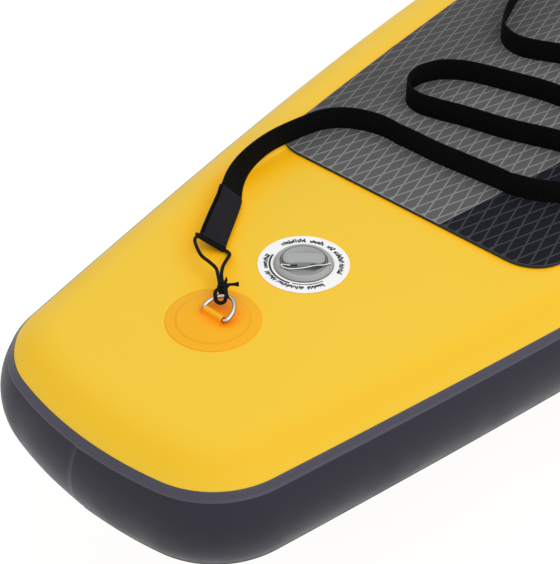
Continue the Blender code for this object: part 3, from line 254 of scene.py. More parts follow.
def fillet(corners, radii, steps):
    """A closed line with its corners turned into arcs of the given radii."""
    points, count = [], len(corners)
    for number, (corner, radius) in enumerate(zip(corners, radii)):
        corner = Vector(corner)
        if radius == 0:
            points.append(tuple(corner))
            continue
        before = (Vector(corners[number - 1]) - corner).normalized()
        after = (Vector(corners[(number + 1) % count]) - corner).normalized()
        half = before.angle(after) / 2
        middle = corner + (before + after).normalized() * radius / math.sin(half)
        first = corner + before * radius / math.tan(half) - middle
        last = corner + after * radius / math.tan(half) - middle
        sweep = first.angle_signed(last)
        for step in range(steps + 1):
            points.append(tuple(middle + Matrix.Rotation(-sweep * step / steps, 2) @ first))
    return points

# %% [markdown]
# ## Finishes: shared effects
#
# Coated cloth, foam and webbing all need the same few effects at their own scale: a soft drift of tone, a
# fine woven relief, pores and rubbed edges. Each effect is a node group with named inputs, built once here
# and placed in every material that needs it.

# %% Node helpers
def group(name, inputs, outputs):
    """An empty shader node group with named sockets, and its nodes and links."""
    tree = bpy.data.node_groups.new(name, "ShaderNodeTree")
    for label, kind, value in inputs:
        socket = tree.interface.new_socket(name=label, in_out="INPUT", socket_type=kind)
        if value is not None:
            socket.default_value = value
    for label, kind in outputs:
        tree.interface.new_socket(name=label, in_out="OUTPUT", socket_type=kind)
    return tree, tree.nodes.new("NodeGroupInput"), tree.nodes.new("NodeGroupOutput")


def feed(tree, node, values):
    """Give a node's inputs their links or plain values."""
    for label, value in values.items():
        if isinstance(value, bpy.types.NodeSocket):
            tree.links.new(value, node.inputs[label])
        else:
            node.inputs[label].default_value = value


def add(tree, kind, values=None, **settings):
    """Add a node, set its properties, and feed its inputs."""
    node = tree.nodes.new("ShaderNode" + kind)
    for name, value in settings.items():
        setattr(node, name, value)
    feed(tree, node, values or {})
    return node


def maths(tree, operation, *values):
    """A Math node, as a socket."""
    return add(tree, "Math", dict(enumerate(values)), operation=operation).outputs[0]


def blended(tree, share, colour, other):
    """A mix of two colours, each a socket or a plain colour, as a socket."""
    return add(tree, "Mix", {0: share, 6: colour, 7: other}, data_type="RGBA").outputs[2]


FLOAT, COLOUR, VECTOR = "NodeSocketFloat", "NodeSocketColor", "NodeSocketVector"
# how far from other pieces the painted shade reaches
PAINTED_SHADE_REACH = 0.060

# %% Tone: a slow drift between two colours
tone, start, end = group("Tone", [
    ("Place", VECTOR, None), ("Scale", FLOAT, 5.0), ("Colour", COLOUR, (1, 1, 1, 1)),
    ("Other", COLOUR, (1, 1, 1, 1)), ("Share", FLOAT, 0.5)], [("Colour", COLOUR)])
given = start.outputs
cloud = add(tone, "TexNoise", {"Vector": given["Place"], "Scale": given["Scale"], "Detail": 3.0,
                               "Roughness": 0.55})
drift = maths(tone, "MULTIPLY", cloud.outputs["Fac"], given["Share"])
feed(tone, end, {"Colour": blended(tone, drift, given["Colour"], given["Other"])})

# %% Weave: warp and weft ribs as a height
weave, start, end = group("Weave", [("Place", VECTOR, None), ("Pitch", FLOAT, 0.001)], [("Height", FLOAT)])
parts = add(weave, "SeparateXYZ", {0: start.outputs["Place"]})
turns = maths(weave, "DIVIDE", math.pi, start.outputs["Pitch"])
ribs = [maths(weave, "ABSOLUTE", maths(weave, "SINE", maths(weave, "MULTIPLY", parts.outputs[axis], turns)))
        for axis in (0, 1)]
feed(weave, end, {"Height": maths(weave, "MAXIMUM", *ribs)})

# %% Grain: fine pores and rubs as a height and a mask
grain, start, end = group("Grain", [("Place", VECTOR, None), ("Scale", FLOAT, 800.0)],
                          [("Height", FLOAT), ("Mask", FLOAT)])
given = start.outputs
wide = maths(grain, "MULTIPLY", given["Scale"], 0.06)
fine = add(grain, "TexNoise", {"Vector": given["Place"], "Scale": given["Scale"], "Detail": 4.0})
coarse = add(grain, "TexNoise", {"Vector": given["Place"], "Scale": wide, "Detail": 2.0})
mask = add(grain, "MapRange", {"Value": coarse.outputs["Fac"], "From Min": 0.42, "From Max": 0.68})
feed(grain, end, {"Height": fine.outputs["Fac"], "Mask": mask.outputs[0]})
print("groups:", [made.name for made in bpy.data.node_groups])

# %% A finish starts from one Principled shader
def finish(name, roughness, specular=0.5, metallic=0.0):
    """A material with its Principled shader, and the place that its patterns read."""
    made = bpy.data.materials.new(name)
    made.use_nodes = True
    tree = made.node_tree
    shader = tree.nodes["Principled BSDF"]
    feed(tree, shader, {"Roughness": roughness, "Metallic": metallic, "Specular IOR Level": specular})
    return made, tree, shader, add(tree, "TexCoord").outputs["Object"]


def use(tree, effect, **values):
    """Place a shared effect in a material."""
    node = tree.nodes.new("ShaderNodeGroup")
    node.node_tree = effect
    feed(tree, node, values)
    return node.outputs


def relief(tree, shader, height, depth, strength, under=None):
    """Feed a height to the shader's normal through a Bump node, in metres."""
    bump = add(tree, "Bump", {"Height": height, "Distance": depth, "Strength": strength})
    if under is not None:
        tree.links.new(under, bump.inputs["Normal"])
    tree.links.new(bump.outputs[0], shader.inputs["Normal"])
    return bump.outputs[0]


def vary_roughness(tree, shader, mask, low, high):
    """Let roughness wander between two values."""
    spread = add(tree, "MapRange", {"Value": mask, "To Min": low, "To Max": high})
    tree.links.new(spread.outputs[0], shader.inputs["Roughness"])


def with_painted_shade(tree, surface, shade, reach):
    """A colour that turns to a painted shade in corners and close under other pieces."""
    # painted shade: the less open sky an occlusion test finds here, the more the colour turns to the shade
    # colour
    near = add(tree, "AmbientOcclusion", {"Distance": reach}, samples=8)
    open_sky = add(tree, "MapRange", {"Value": near.outputs["AO"], "From Min": 0.80, "From Max": 0.98})
    return blended(tree, open_sky.outputs[0], (*shade, 1), surface)


def coated_cloth(name, colour, other, roughness, specular=0.5, shade=None, drawn=None, reach=PAINTED_SHADE_REACH):
    """Coated plastic over a woven cloth whose threads just show.

    Its colour turns to a painted shade close under other pieces, and to drawn, a painted shade marked on the
    rail's rounding.
    """
    made, tree, shader, place = finish(name, roughness, specular)
    drift = use(tree, tone, Place=place, Scale=3.2, Colour=(*colour, 1), Other=(*other, 1), Share=0.5)
    surface = drift["Colour"]
    # drawn is the colour of a painted shade on the rail's rounding, mixed in by the deck ply's own mark
    if drawn:
        rim_shade_mask = add(tree, "Attribute", attribute_name="drawn")
        surface = blended(tree, rim_shade_mask.outputs["Fac"], surface, (*drawn, 1))
    # painted shade close under the pieces that stand on this cloth
    if shade:
        surface = with_painted_shade(tree, surface, shade, reach)
    feed(tree, shader, {"Base Color": surface})
    threads = use(tree, weave, Place=place, Pitch=0.0016)
    pores = use(tree, grain, Place=place, Scale=420.0)
    vary_roughness(tree, shader, pores["Mask"], roughness - 0.04, roughness + 0.05)
    cloth = relief(tree, shader, threads["Height"], 0.00004, 0.35)
    relief(tree, shader, pores["Height"], 0.00006, 0.35, cloth)
    return made


# each cloth's own colour, then the deeper colours of its painted shade under other pieces and on the rail's
# rounding
GOLD, GOLD_DRIFT = (0.800, 0.530, 0.045), (0.822, 0.505, 0.030)
GOLD_PAINTED_SHADE, GOLD_PAINTED_RIM_SHADE = (1.0, 0.49, 0.0005), (0.815, 0.488, 0.023)
AMBER, AMBER_DRIFT, AMBER_PAINTED_SHADE = (0.818, 0.410, 0.014), (0.828, 0.385, 0.010), (1.0, 0.27, 0.001)
deck_cloth = coated_cloth("golden_deck_cloth", GOLD, GOLD_DRIFT, 0.46, 0.10, GOLD_PAINTED_SHADE, GOLD_PAINTED_RIM_SHADE)
rim_cloth = coated_cloth("golden_rim_cloth", GOLD, GOLD_DRIFT, 0.46, 0.10, None, GOLD_PAINTED_RIM_SHADE)
bottom_cloth = coated_cloth("golden_bottom_cloth", GOLD, GOLD_DRIFT, 0.46, 0.10)
rail_cloth = coated_cloth("slate_rail_cloth", (0.0200, 0.0188, 0.0300), (0.0235, 0.0222, 0.0340), 0.42, 0.24)
# the band's strip above the ridge is painted lighter as painted light from above, and the ridge lighter still
# as a painted highlight
rail_painted_light_cloth = coated_cloth("slate_rail_painted_light_cloth", (0.054, 0.051, 0.073), (0.060, 0.057, 0.079), 0.4, 0.3)
ridge_painted_highlight_cloth = coated_cloth("rail_ridge_painted_highlight_cloth", (0.070, 0.066, 0.090), (0.076, 0.072, 0.096), 0.40, 0.35)
lap_edge = coated_cloth("lap_edge_cloth", (0.038, 0.036, 0.048), (0.044, 0.042, 0.054), 0.5)
wall_cloth = coated_cloth("inner_wall_cloth", (0.05, 0.05, 0.06), (0.06, 0.06, 0.07), 0.5)
patch_cloth = coated_cloth("amber_patch_cloth", AMBER, AMBER_DRIFT, 0.46, 0.12, AMBER_PAINTED_SHADE, reach=0.018)
# a darker amber for the patch's two steps, as painted shade
patch_step_painted_shade = coated_cloth("amber_patch_step_painted_shade", (0.80, 0.350, 0.009), (0.81, 0.335, 0.008), 0.46, 0.12)
print("cloths:", [made.name for made in bpy.data.materials if made.name.endswith("cloth")])


# %% Foam, strap, plastic, metal and rubber
def foam(name, colour, other, roughness=0.9, specular=0.25, left_in_port_shadow=1.0):
    """Closed-cell foam with fine pores; left_in_port_shadow is how much of its colour a painted shadow leaves
    along the port edge.
    """
    made, tree, shader, place = finish(name, roughness, specular)
    drift = use(tree, tone, Place=place, Scale=9.0, Colour=(*colour, 1), Other=(*other, 1), Share=0.6)
    parts = add(tree, "SeparateXYZ", {0: place})
    # a painted shadow darkens the foam towards port and the nose, behind a soft line
    side = maths(tree, "SUBTRACT", maths(tree, "MULTIPLY", parts.outputs["Y"], 0.2), parts.outputs["X"])
    edge = add(tree, "MapRange", {"Value": side, "From Min": -0.11, "From Max": 0.01},
               interpolation_type="SMOOTHSTEP")
    port_shadow_colour = (*(left_in_port_shadow * value for value in colour), 1)
    feed(tree, shader, {"Base Color": blended(tree, edge.outputs[0], drift["Colour"], port_shadow_colour)})
    pores = use(tree, grain, Place=place, Scale=900.0)
    relief(tree, shader, pores["Height"], 0.00010, 0.5)
    return made


def strap_cloth(name, colour, other, pitch, specular=0.12):
    """Woven strap or knitted fabric: the threads show as a fine relief."""
    made, tree, shader, place = finish(name, 0.85, specular)
    drift = use(tree, tone, Place=place, Scale=40.0, Colour=(*colour, 1), Other=(*other, 1), Share=0.6)
    feed(tree, shader, {"Base Color": drift["Colour"]})
    threads = use(tree, weave, Place=place, Pitch=pitch)
    relief(tree, shader, threads["Height"], 0.00012, 0.6)
    return made


def moulded(name, colour, roughness, specular=0.4, reach=0.0):
    """Moulded plastic or rubber with a faint eroded texture; reach is how far a painted shade spreads into
    its corners.
    """
    made, tree, shader, place = finish(name, roughness, specular)
    drift = use(tree, tone, Place=place, Scale=30.0, Colour=(*colour, 1),
                Other=(*(0.9 * value for value in colour), 1), Share=0.5)
    # painted shade: the colour at 45 per cent, wherever an occlusion test finds a corner or hollow
    painted_corner_shade = [0.45 * value for value in colour]
    surface = with_painted_shade(tree, drift["Colour"], painted_corner_shade, reach) if reach else drift["Colour"]
    feed(tree, shader, {"Base Color": surface})
    pores = use(tree, grain, Place=place, Scale=1500.0)
    vary_roughness(tree, shader, pores["Mask"], roughness - 0.05, roughness + 0.06)
    relief(tree, shader, pores["Height"], 0.00004, 0.4)
    return made


def steel_finish(name, roughness):
    """Polished stainless steel with faint rubs, and a painted dark reflection where it is seen edge-on."""
    made, tree, shader, place = finish(name, roughness, metallic=1.0)
    drift = use(tree, tone, Place=place, Scale=60.0, Colour=STEEL, Other=STEEL_DULL, Share=0.6)
    # painted reflection: the colour darkens where the surface is seen edge-on
    away = add(tree, "LayerWeight", {"Blend": 0.52})
    turned = blended(tree, away.outputs["Facing"], drift["Colour"], STEEL_PAINTED_DARK_EDGE)
    feed(tree, shader, {"Base Color": turned})
    rubs = use(tree, grain, Place=place, Scale=700.0)
    vary_roughness(tree, shader, rubs["Mask"], roughness, roughness + 0.12)
    return made


# the last colour is the painted dark reflection at grazing view
STEEL, STEEL_DULL, STEEL_PAINTED_DARK_EDGE = (0.62, 0.62, 0.62, 1), (0.44, 0.44, 0.45, 1), (0.10, 0.10, 0.11, 1)
foam_side = foam("foam_side", (0.034, 0.037, 0.041), (0.039, 0.042, 0.046), specular=0.12)
# the grey foam and its grooves lie under a painted shadow towards port
grey_foam = foam("grey_foam", (0.094, 0.094, 0.097), (0.106, 0.105, 0.106), specular=0.12, left_in_port_shadow=0.70)
grey_groove = foam("grey_groove", (0.205, 0.205, 0.21), (0.225, 0.225, 0.23), left_in_port_shadow=0.68)
dark_foam = foam("dark_foam", (0.0078, 0.0088, 0.0125), (0.0098, 0.0110, 0.0148), specular=0.10)
dark_groove = foam("dark_groove", (0.032, 0.035, 0.043), (0.038, 0.041, 0.049))
# the rib crowns get a lighter copy of the strap's black as a painted highlight; the valleys keep the darker
# black
black_strap = strap_cloth("black_strap", (0.0012, 0.0012, 0.0015), (0.0018, 0.0018, 0.0022), 0.0011, 0.06)
strap_painted_highlight = strap_cloth("strap_painted_highlight", (0.0055, 0.0055, 0.0062), (0.0075, 0.0075, 0.0083), 0.0011, 0.08)
black_fabric = strap_cloth("black_fabric", (0.0100, 0.0100, 0.0125), (0.0125, 0.0125, 0.0155), 0.0007)
thread_black = moulded("thread_black", (0.012, 0.012, 0.014), 0.6, 0.3)
black_string = strap_cloth("black_string", (0.0045, 0.0050, 0.0068), (0.007, 0.0075, 0.0095), 0.0009)
neoprene = foam("black_neoprene", (0.010, 0.010, 0.012), (0.013, 0.013, 0.015), 0.8, 0.2)
label_film = moulded("label_film", (0.85, 0.85, 0.85), 0.40, 0.3)
label_ink = moulded("label_ink", (0.006, 0.006, 0.008), 0.45, 0.3)
# the valve's plastic gets a painted shade 4 mm into its corners and hollows
valve_plastic = moulded("valve_plastic", (0.345, 0.358, 0.350), 0.48, 0.30, 0.004)
poppet_plastic = moulded("poppet_plastic", (0.10, 0.10, 0.11), 0.50)
seal_rubber = moulded("seal_rubber", (0.022, 0.022, 0.023), 0.70, 0.2)
tether_line = moulded("tether_line", (0.80, 0.80, 0.80), 0.5, 0.3)
box_plastic = moulded("fin_box_plastic", (0.016, 0.016, 0.018), 0.45)
fin_plastic = moulded("fin_plastic", (0.016, 0.016, 0.018), 0.33)
bright_steel = steel_finish("bright_steel", 0.16)
inner_cloth = coated_cloth("drop_stitch_cloth", (0.78, 0.78, 0.76), (0.70, 0.70, 0.68), 0.85)
print("finishes:", len(bpy.data.materials))

# %% [markdown]
# ## The hull's outline
#
# The rail's section is half a circle, 150 mm high, carried round one line in plan. The tail end is a
# shallow arc, its corners are tight arcs, the sides and the nose are long free curves, and the nose rises
# in a gentle rocker. All the plies are laid on this one line, so it is worked out once, as points with
# their outward directions.

# %% Outline and rocker
LENGTH, WIDTH, THICK = 3.200, 0.790, 0.150
RAIL_R = THICK / 2
GAP, PLY = 0.0003, 0.0009
DECK = 0.3486
HULL_MID = DECK - RAIL_R
TAIL_END_R, TAIL_HALF_ANGLE = 0.450, 13.2
CORNER_R, SIDE_ANGLE = 0.116, 77.7
WIDEST_AT = 1.680
SIDE_AFT, SIDE_FORE = 0.532, 0.560
NOSE_SIDE, NOSE_TIP = 0.700, 0.240
ROCKER_FROM, NOSE_RISE, ROCKER_POWER = 1.750, 0.110, 2.2
BAND_EDGE, PLY_EDGE = 48.0, 55.0           # where the band and the plies end, in degrees from straight up


def rocker(y):
    """How far the hull has risen at a station."""
    start = ROCKER_FROM - LENGTH / 2
    return NOSE_RISE * (max(y - start, 0.0) / (LENGTH / 2 - start)) ** ROCKER_POWER


def bezier(p0, p1, p2, p3, shares):
    """Points and directions along a cubic curve."""
    for t in shares:
        u = 1 - t
        point = p0 * u ** 3 + p1 * 3 * u * u * t + p2 * 3 * u * t * t + p3 * t ** 3
        along = (p1 - p0) * u * u + (p2 - p1) * 2 * u * t + (p3 - p2) * t * t
        yield point, along.normalized()


def arc(centre, radius, low, high, shares):
    """Points and outward directions along an arc, in degrees from straight aft."""
    for share in shares:
        turn = math.radians(low + (high - low) * share)
        outward = Vector((math.sin(turn), -math.cos(turn)))
        yield centre + outward * radius, outward


def half_outline():
    """The starboard half, from just off the tail's middle to just off the nose's tip."""
    tail = Vector((0, TAIL_END_R))
    found = list(arc(tail, TAIL_END_R, 0, TAIL_HALF_ANGLE, [0.04] + [step / 8 for step in range(1, 9)]))
    centre = found[-1][0] - found[-1][1] * CORNER_R
    found += list(arc(centre, CORNER_R, TAIL_HALF_ANGLE, SIDE_ANGLE, [step / 20 for step in range(1, 21)]))
    begin, outward = found[-1]
    along = Vector((-outward.y, outward.x))
    widest, tip = Vector((WIDTH / 2, WIDEST_AT)), Vector((0, LENGTH))
    side = bezier(begin, begin + along * SIDE_AFT, widest - Vector((0, SIDE_FORE)), widest,
                  [step / 30 for step in range(1, 31)])
    nose = bezier(widest, widest + Vector((0, NOSE_SIDE)), tip + Vector((NOSE_TIP, 0)), tip,
                  [step / 44 for step in range(1, 44)] + [0.993])
    found += [(point, Vector((way.y, -way.x))) for point, way in list(side) + list(nose)]
    shift = Vector((0, -LENGTH / 2))
    return [(point - out * RAIL_R + shift, out) for point, out in found]


STARBOARD = half_outline()
PORT = [(Vector((-point.x, point.y)), Vector((-out.x, out.y))) for point, out in reversed(STARBOARD)]
OUTLINE = STARBOARD + PORT
print("outline:", len(OUTLINE), "stations")

# %% [markdown]
# ## The deck and bottom plies
#
# Each ply is one sheet of coated cloth. It lies flat over the chamber, turns down round the rail and ends
# under the rail band. A line is drawn round the edge of the flat, and extruded ring by ring round the
# rail's section, out and back again, so the ply has its real thickness. The flat is then bridged from side
# to side, which keeps it in narrow strips that follow the rocker.

# %% Rings round the hull
def hull_ring(angle, radius, stations=OUTLINE, swell=None, tuck=None):
    """One line round the hull: an angle from straight up, and a radius of the rail's section."""
    ring = []
    for number, (point, out) in enumerate(stations):
        turn = math.radians(angle + (tuck[number] if tuck else 0.0))
        here = radius + (swell[number] if swell else 0.0)
        plan = point + out * here * math.sin(turn)
        ring.append((plan.x, plan.y, HULL_MID + here * math.cos(turn) + rocker(point.y)))
    return ring


def hull_sheet(name, side, cloth):
    """The deck ply (side 1) or the bottom ply (side -1)."""
    angles = [90 - side * (90 - angle) for angle in (*range(0, int(PLY_EDGE), 3), PLY_EDGE)]
    rings = [hull_ring(angle, RAIL_R) for angle in angles]
    rings += [hull_ring(angle, RAIL_R - PLY) for angle in reversed(angles)]
    piece = loft(name, rings, ends="open")
    with editing():
        for radius in (RAIL_R, RAIL_R - PLY):
            level = HULL_MID + side * radius
            pick(piece, edges=lambda edge: edge.is_boundary and edge.verts[0].co.x * edge.verts[1].co.x > 0
                 and abs(edge.verts[0].co.z - rocker(edge.verts[0].co.y) - level) < PLY / 4)
            bpy.ops.mesh.bridge_edge_loops()
    close_up(piece, sharp=50)
    coat(piece, cloth)
    return piece


# how much painted shade the rounding gets at each angle from straight up, and how much more on faces turned
# to starboard and aft
RIM_SHADE_AT, RIM_SHADE_SHARE = (2.0, 12.0, 24.0, 31.0, 38.0, 48.0), (0.0, 0.25, 0.85, 1.0, 0.75, 0.25)
RIM_SHADE_STARBOARD, RIM_SHADE_AFT, RIM_SHADE_STEEP = 0.55, 0.84, 2.5
RIM_LEVEL = math.cos(math.radians(26))


def mark_painted_rim_shade(piece):
    """Mark where the deck's colour turns to a painted shade on its rounding over the rail, most aft and to
    starboard.
    """
    marks = piece.data.attributes.new("drawn", "FLOAT", "POINT")
    for vert, mark in zip(piece.data.vertices, marks.data):
        turned = math.degrees(math.acos(max(-1.0, min(1.0, vert.normal.z))))
        facing = vert.normal.x * RIM_SHADE_STARBOARD - vert.normal.y * RIM_SHADE_AFT
        rim_shade = np.interp(turned, RIM_SHADE_AT, RIM_SHADE_SHARE)
        steep = RIM_SHADE_STEEP * facing / max(math.sin(math.radians(turned)), 0.01)
        mark.value = rim_shade * max(0.0, min(1.0, steep))
    # the rounding's faces take the rim cloth: it keeps the rail's painted shade but not the painted shade of
    # nearby pieces
    for face in piece.data.polygons:
        face.material_index = int(face.normal.z < RIM_LEVEL)
    coat(piece, rim_cloth)


deck_ply = hull_sheet("deck_ply", 1, deck_cloth)
# the deck's rounding is marked for its painted shade
mark_painted_rim_shade(deck_ply)
bottom_ply = hull_sheet("bottom_ply", -1, bottom_cloth)
for piece, node in ((deck_ply, "deck_skin"), (bottom_ply, "bottom_skin")):
    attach(piece, "board")
    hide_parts(node)
print("deck ply:", len(deck_ply.data.polygons), "faces")

# %% [markdown]
# ## The rail band
#
# The band is a second cloth, glued over the edges of both plies, from 48 degrees off straight up to 48
# degrees off straight down; to port it starts a little lower, and underneath it ends nearer the middle.
# Where it rides over a ply's edge it shows a fine ridge all round. Its two ends meet at the middle of the
# tail, where one laps over the other and makes an upright step.

# %% Rail band
BAND_T = 0.0004                             # the band is thin enough to lie almost flush with the plies
OVER = RAIL_R + BAND_T + 0.00005
LAP_STEP = 0.0006                           # how far the band's outer end stands proud where it laps
BEVEL_RISE, BEVEL_TURN = 0.00006, 0.25      # the upper edge is rounded off in steps of this
LOW_TUCK = 8.0                              # how much further the band reaches underneath, in degrees
# the ridge's faces carry a painted highlight
RIDGE = (-0.35, 0.9)                        # where the ridge lies, in degrees round from the ply's edge
LAP_LENGTH = 0.045
LAP_AT, LAP_RISER = 0.0018, 0.0011          # the step's place to starboard of the middle, and its width
PORT_TUCK = 4.5                             # how much lower the band's edge lies to port, in degrees
PORT_FROM = 0.75                            # a station that faces port more than this is lowered
LAP_STATIONS = [0.0, LAP_RISER, 0.004, 0.010, 0.018, 0.028, 0.036, LAP_LENGTH]
EASE = [(-1.5, 1.0), (-1.0, 1.05), (-0.6, 1.45), (-0.2, 1.95), (0.2, 2.10), (0.6, 1.80), (1.0, 1.15),
        (1.5, 0.50), (2.0, 0.12), (2.6, 0.02), (3.2, 0.0)]
EASE_END = PLY_EDGE + EASE[-1][0]
EDGE_FROM, EDGE_OVER = 54, 6                # the band's edges are moved over these degrees, most at the edge
LAP_ABOVE_RIDGE = 0.2                       # the share of the step that shows above the ridge


def band_stations():
    """The outline again, with the lap's own stations at the tail, and how far each stands proud."""
    stations, swell = [], []
    tail = Vector((0, TAIL_END_R - LENGTH / 2))
    for along in LAP_STATIONS:
        turn = (LAP_AT + along) / TAIL_END_R
        out = Vector((math.sin(turn), -math.cos(turn)))
        stations.append((tail + out * (TAIL_END_R - RAIL_R), out))
        swell.append(0.0 if along == 0 else LAP_STEP * (1 - along / LAP_LENGTH) ** 2)
    port, starboard = stations[0][0].x, stations[-1][0].x
    for point, out in OUTLINE:
        if not port - LAP_RISER < point.x < starboard or point.y > 0:
            stations.append((point, out))
            swell.append(0.0)
    return stations, swell


def build_band():
    """The band as rings round the hull: out over the ridge, down the side, and back inside."""
    stations, swell = band_stations()
    lap = [(BAND_EDGE + BEVEL_TURN * step, OVER - BEVEL_RISE * (3 - step)) for step in range(3)]
    lap += [(angle, OVER) for angle in (49, 50.5, 52, 53)]
    lap += [(PLY_EDGE + angle, RAIL_R + (OVER - RAIL_R) * share) for angle, share in EASE]
    side = [(angle, RAIL_R) for angle in range(60, 90, 3)]
    upper = lap + side
    lower = [(180 - angle + LOW_TUCK * max(0.0, EDGE_FROM - angle) / EDGE_OVER, radius)
             for angle, radius in reversed(upper)]
    section = upper + [(90, RAIL_R)] + lower
    inner = [(angle, radius - BAND_T) for angle, radius in section if not PLY_EDGE < angle < EASE_END]
    port = [max(0.0, -out.x - PORT_FROM) / (1 - PORT_FROM) for _, out in stations]
    rings = []
    for number, (angle, radius) in enumerate(section + inner[::-1]):
        tuck = [PORT_TUCK * share * max(0.0, EDGE_FROM - angle) / EDGE_OVER for share in port]
        proud = [step * (1.0 if angle > PLY_EDGE else LAP_ABOVE_RIDGE) for step in swell]
        rings.append(hull_ring(angle, radius, stations, proud if number < len(section) else None, tuck))
    piece = loft("rail_band_cloth", rings, ends="open")
    with editing():
        pick(piece, edges=lambda edge: edge.is_boundary)
        bpy.ops.mesh.bridge_edge_loops()
    close_up(piece, sharp=30)
    # faces above the ridge get the painted light, the ridge's own faces the painted highlight, the lap's
    # riser its edge colour
    above, below = (RAIL_R * math.cos(math.radians(PLY_EDGE + angle)) for angle in RIDGE)
    for face in piece.data.polygons:
        high = face.center.z - rocker(face.center.y) - HULL_MID
        turn = math.atan2(face.center.x, TAIL_END_R - LENGTH / 2 - face.center.y)
        on_lap = 0 < turn * TAIL_END_R - LAP_AT < LAP_RISER
        face.material_index = 2 if high > above else 3 if high > below else int(on_lap)
    coat(piece, rail_cloth, lap_edge, rail_painted_light_cloth, ridge_painted_highlight_cloth)
    return piece


rail_band = build_band()
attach(rail_band, "board")
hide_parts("rail_band")
print("rail band:", len(rail_band.data.polygons), "faces")


# %% The valve's hole in the deck ply
VALVE_AT = (0.0, 0.335 - LENGTH / 2)
CUP_OUTER_R = 0.0270


def trim(piece, operation, tool):
    """A Boolean with a tool that is then thrown away."""
    modify(piece, "BOOLEAN", operation=operation, object=tool, solver="EXACT")
    bpy.data.objects.remove(tool, do_unlink=True)


def drill(radius, depth, centre, sides, turned=(0, 0, 0)):
    """A cylinder to cut or build with."""
    bpy.ops.object.select_all(action="DESELECT")
    bpy.ops.mesh.primitive_cylinder_add(radius=radius, depth=depth, vertices=sides, location=centre,
                                        rotation=turned)
    return bpy.context.object


def block(centre, size, turn=0.0):
    """A box to cut or build with, turned round the upright."""
    bpy.ops.object.select_all(action="DESELECT")
    bpy.ops.mesh.primitive_cube_add(size=1, location=centre, rotation=(0, 0, turn))
    bpy.context.object.scale = size
    return bpy.context.object


def round_box(half_w, half_l, radius, steps, middle=0.0):
    """A rectangle's outline with round corners, about a station."""
    low, high = middle - half_l, middle + half_l
    return fillet([(-half_w, low), (half_w, low), (half_w, high), (-half_w, high)], [radius] * 4, steps)


trim(deck_ply, "DIFFERENCE", drill(CUP_OUTER_R + GAP, 0.02, (*VALVE_AT, DECK), 96))
close_up(deck_ply, sharp=50)
print("deck ply with its hole:", len(deck_ply.data.polygons), "faces")

# %% [markdown]
# ## The deck pads
#
# Two foam sheets 4 mm thick meet along a straight colour seam: a grey one with a well for the carry handle
# and a dark one along the starboard side. A sharp tool has cut both into long diamonds, 15 by 51 mm. A
# plain grid is sheared into that pattern and given its thickness, and the outline of each pad trims it with
# a Boolean. Every diamond is then inset on its own and its rim let down, which leaves a groove with sloping
# sides round each.

# %% Pad sizes
PAD_T = 0.0040
PAD_LOW = DECK + GAP
PAD_TOP = PAD_LOW + PAD_T
PAD_TAIL, PAD_NOSE = 0.488, 2.400
PAD_REAR_HALF, PAD_MAX_HALF, PAD_FRONT_HALF = 0.192, 0.300, 0.215
PAD_WIDEST = 1.560
PAD_OFF_CENTRE = 0.004
PAD_REAR_CORNER, PAD_FRONT_CORNER = 0.046, 0.080
DARK_BAND_W = 0.131
PAD_AFT_CURVE, PAD_FORE_CURVE = 1.5, 1.8
DIAMOND = (0.0154, 0.0509)                  # a diamond's width and length
DIAMOND_AT = (-0.1280, -1.1044)             # the middle of one of them
GRID_COUNT, GRID_HALF_W = 150, 0.33
GROOVE_HALF, GROOVE_DEPTH = 0.0010, 0.00045
SLIVER = 1.1                                # a scrap narrower than this many half grooves stays flat
HANDLE_FROM_TAIL, HANDLE_HALF, HANDLE_PATCH_R, WELL_MARGIN = 1.600, 0.140, 0.045, 0.014


def pad_half(y):
    """Half the pads' width at a station."""
    tail, widest, nose = (station - LENGTH / 2 for station in (PAD_TAIL, PAD_WIDEST, PAD_NOSE))
    if y <= widest:
        share = ((widest - y) / (widest - tail)) ** PAD_AFT_CURVE
        return PAD_MAX_HALF - (PAD_MAX_HALF - PAD_REAR_HALF) * share
    share = ((y - widest) / (nose - widest)) ** PAD_FORE_CURVE
    return PAD_MAX_HALF - (PAD_MAX_HALF - PAD_FRONT_HALF) * share


def pad_outline(port, starboard, port_radii, starboard_radii):
    """The outline between two edge lines, given as functions of the station."""
    tail, nose = PAD_TAIL - LENGTH / 2, PAD_NOSE - LENGTH / 2
    between = [tail + (nose - tail) * step / 36 for step in range(3, 33)]
    corners = [(port(tail), tail), (starboard(tail), tail), *((starboard(y), y) for y in between),
               (starboard(nose), nose), (port(nose), nose), *((port(y), y) for y in reversed(between))]
    none = [0] * len(between)
    radii = [port_radii[0], starboard_radii[0], *none, starboard_radii[1], port_radii[1], *none]
    return fillet(corners, radii, 10)


def port_edge(y):
    """The pads' port edge."""
    return PAD_OFF_CENTRE - pad_half(y)


def starboard_edge(y):
    """The pads' starboard edge."""
    return PAD_OFF_CENTRE + pad_half(y)


def colour_seam(y):
    """Where the dark foam meets the grey."""
    return starboard_edge(y) - DARK_BAND_W


def upright(name, outline, low, high):
    """A flat outline drawn as one face and extruded up."""
    piece = drawn(name, [(x, y, low) for x, y in outline], filled=True)
    with editing():
        thicken((0, 0, high - low))
    return piece


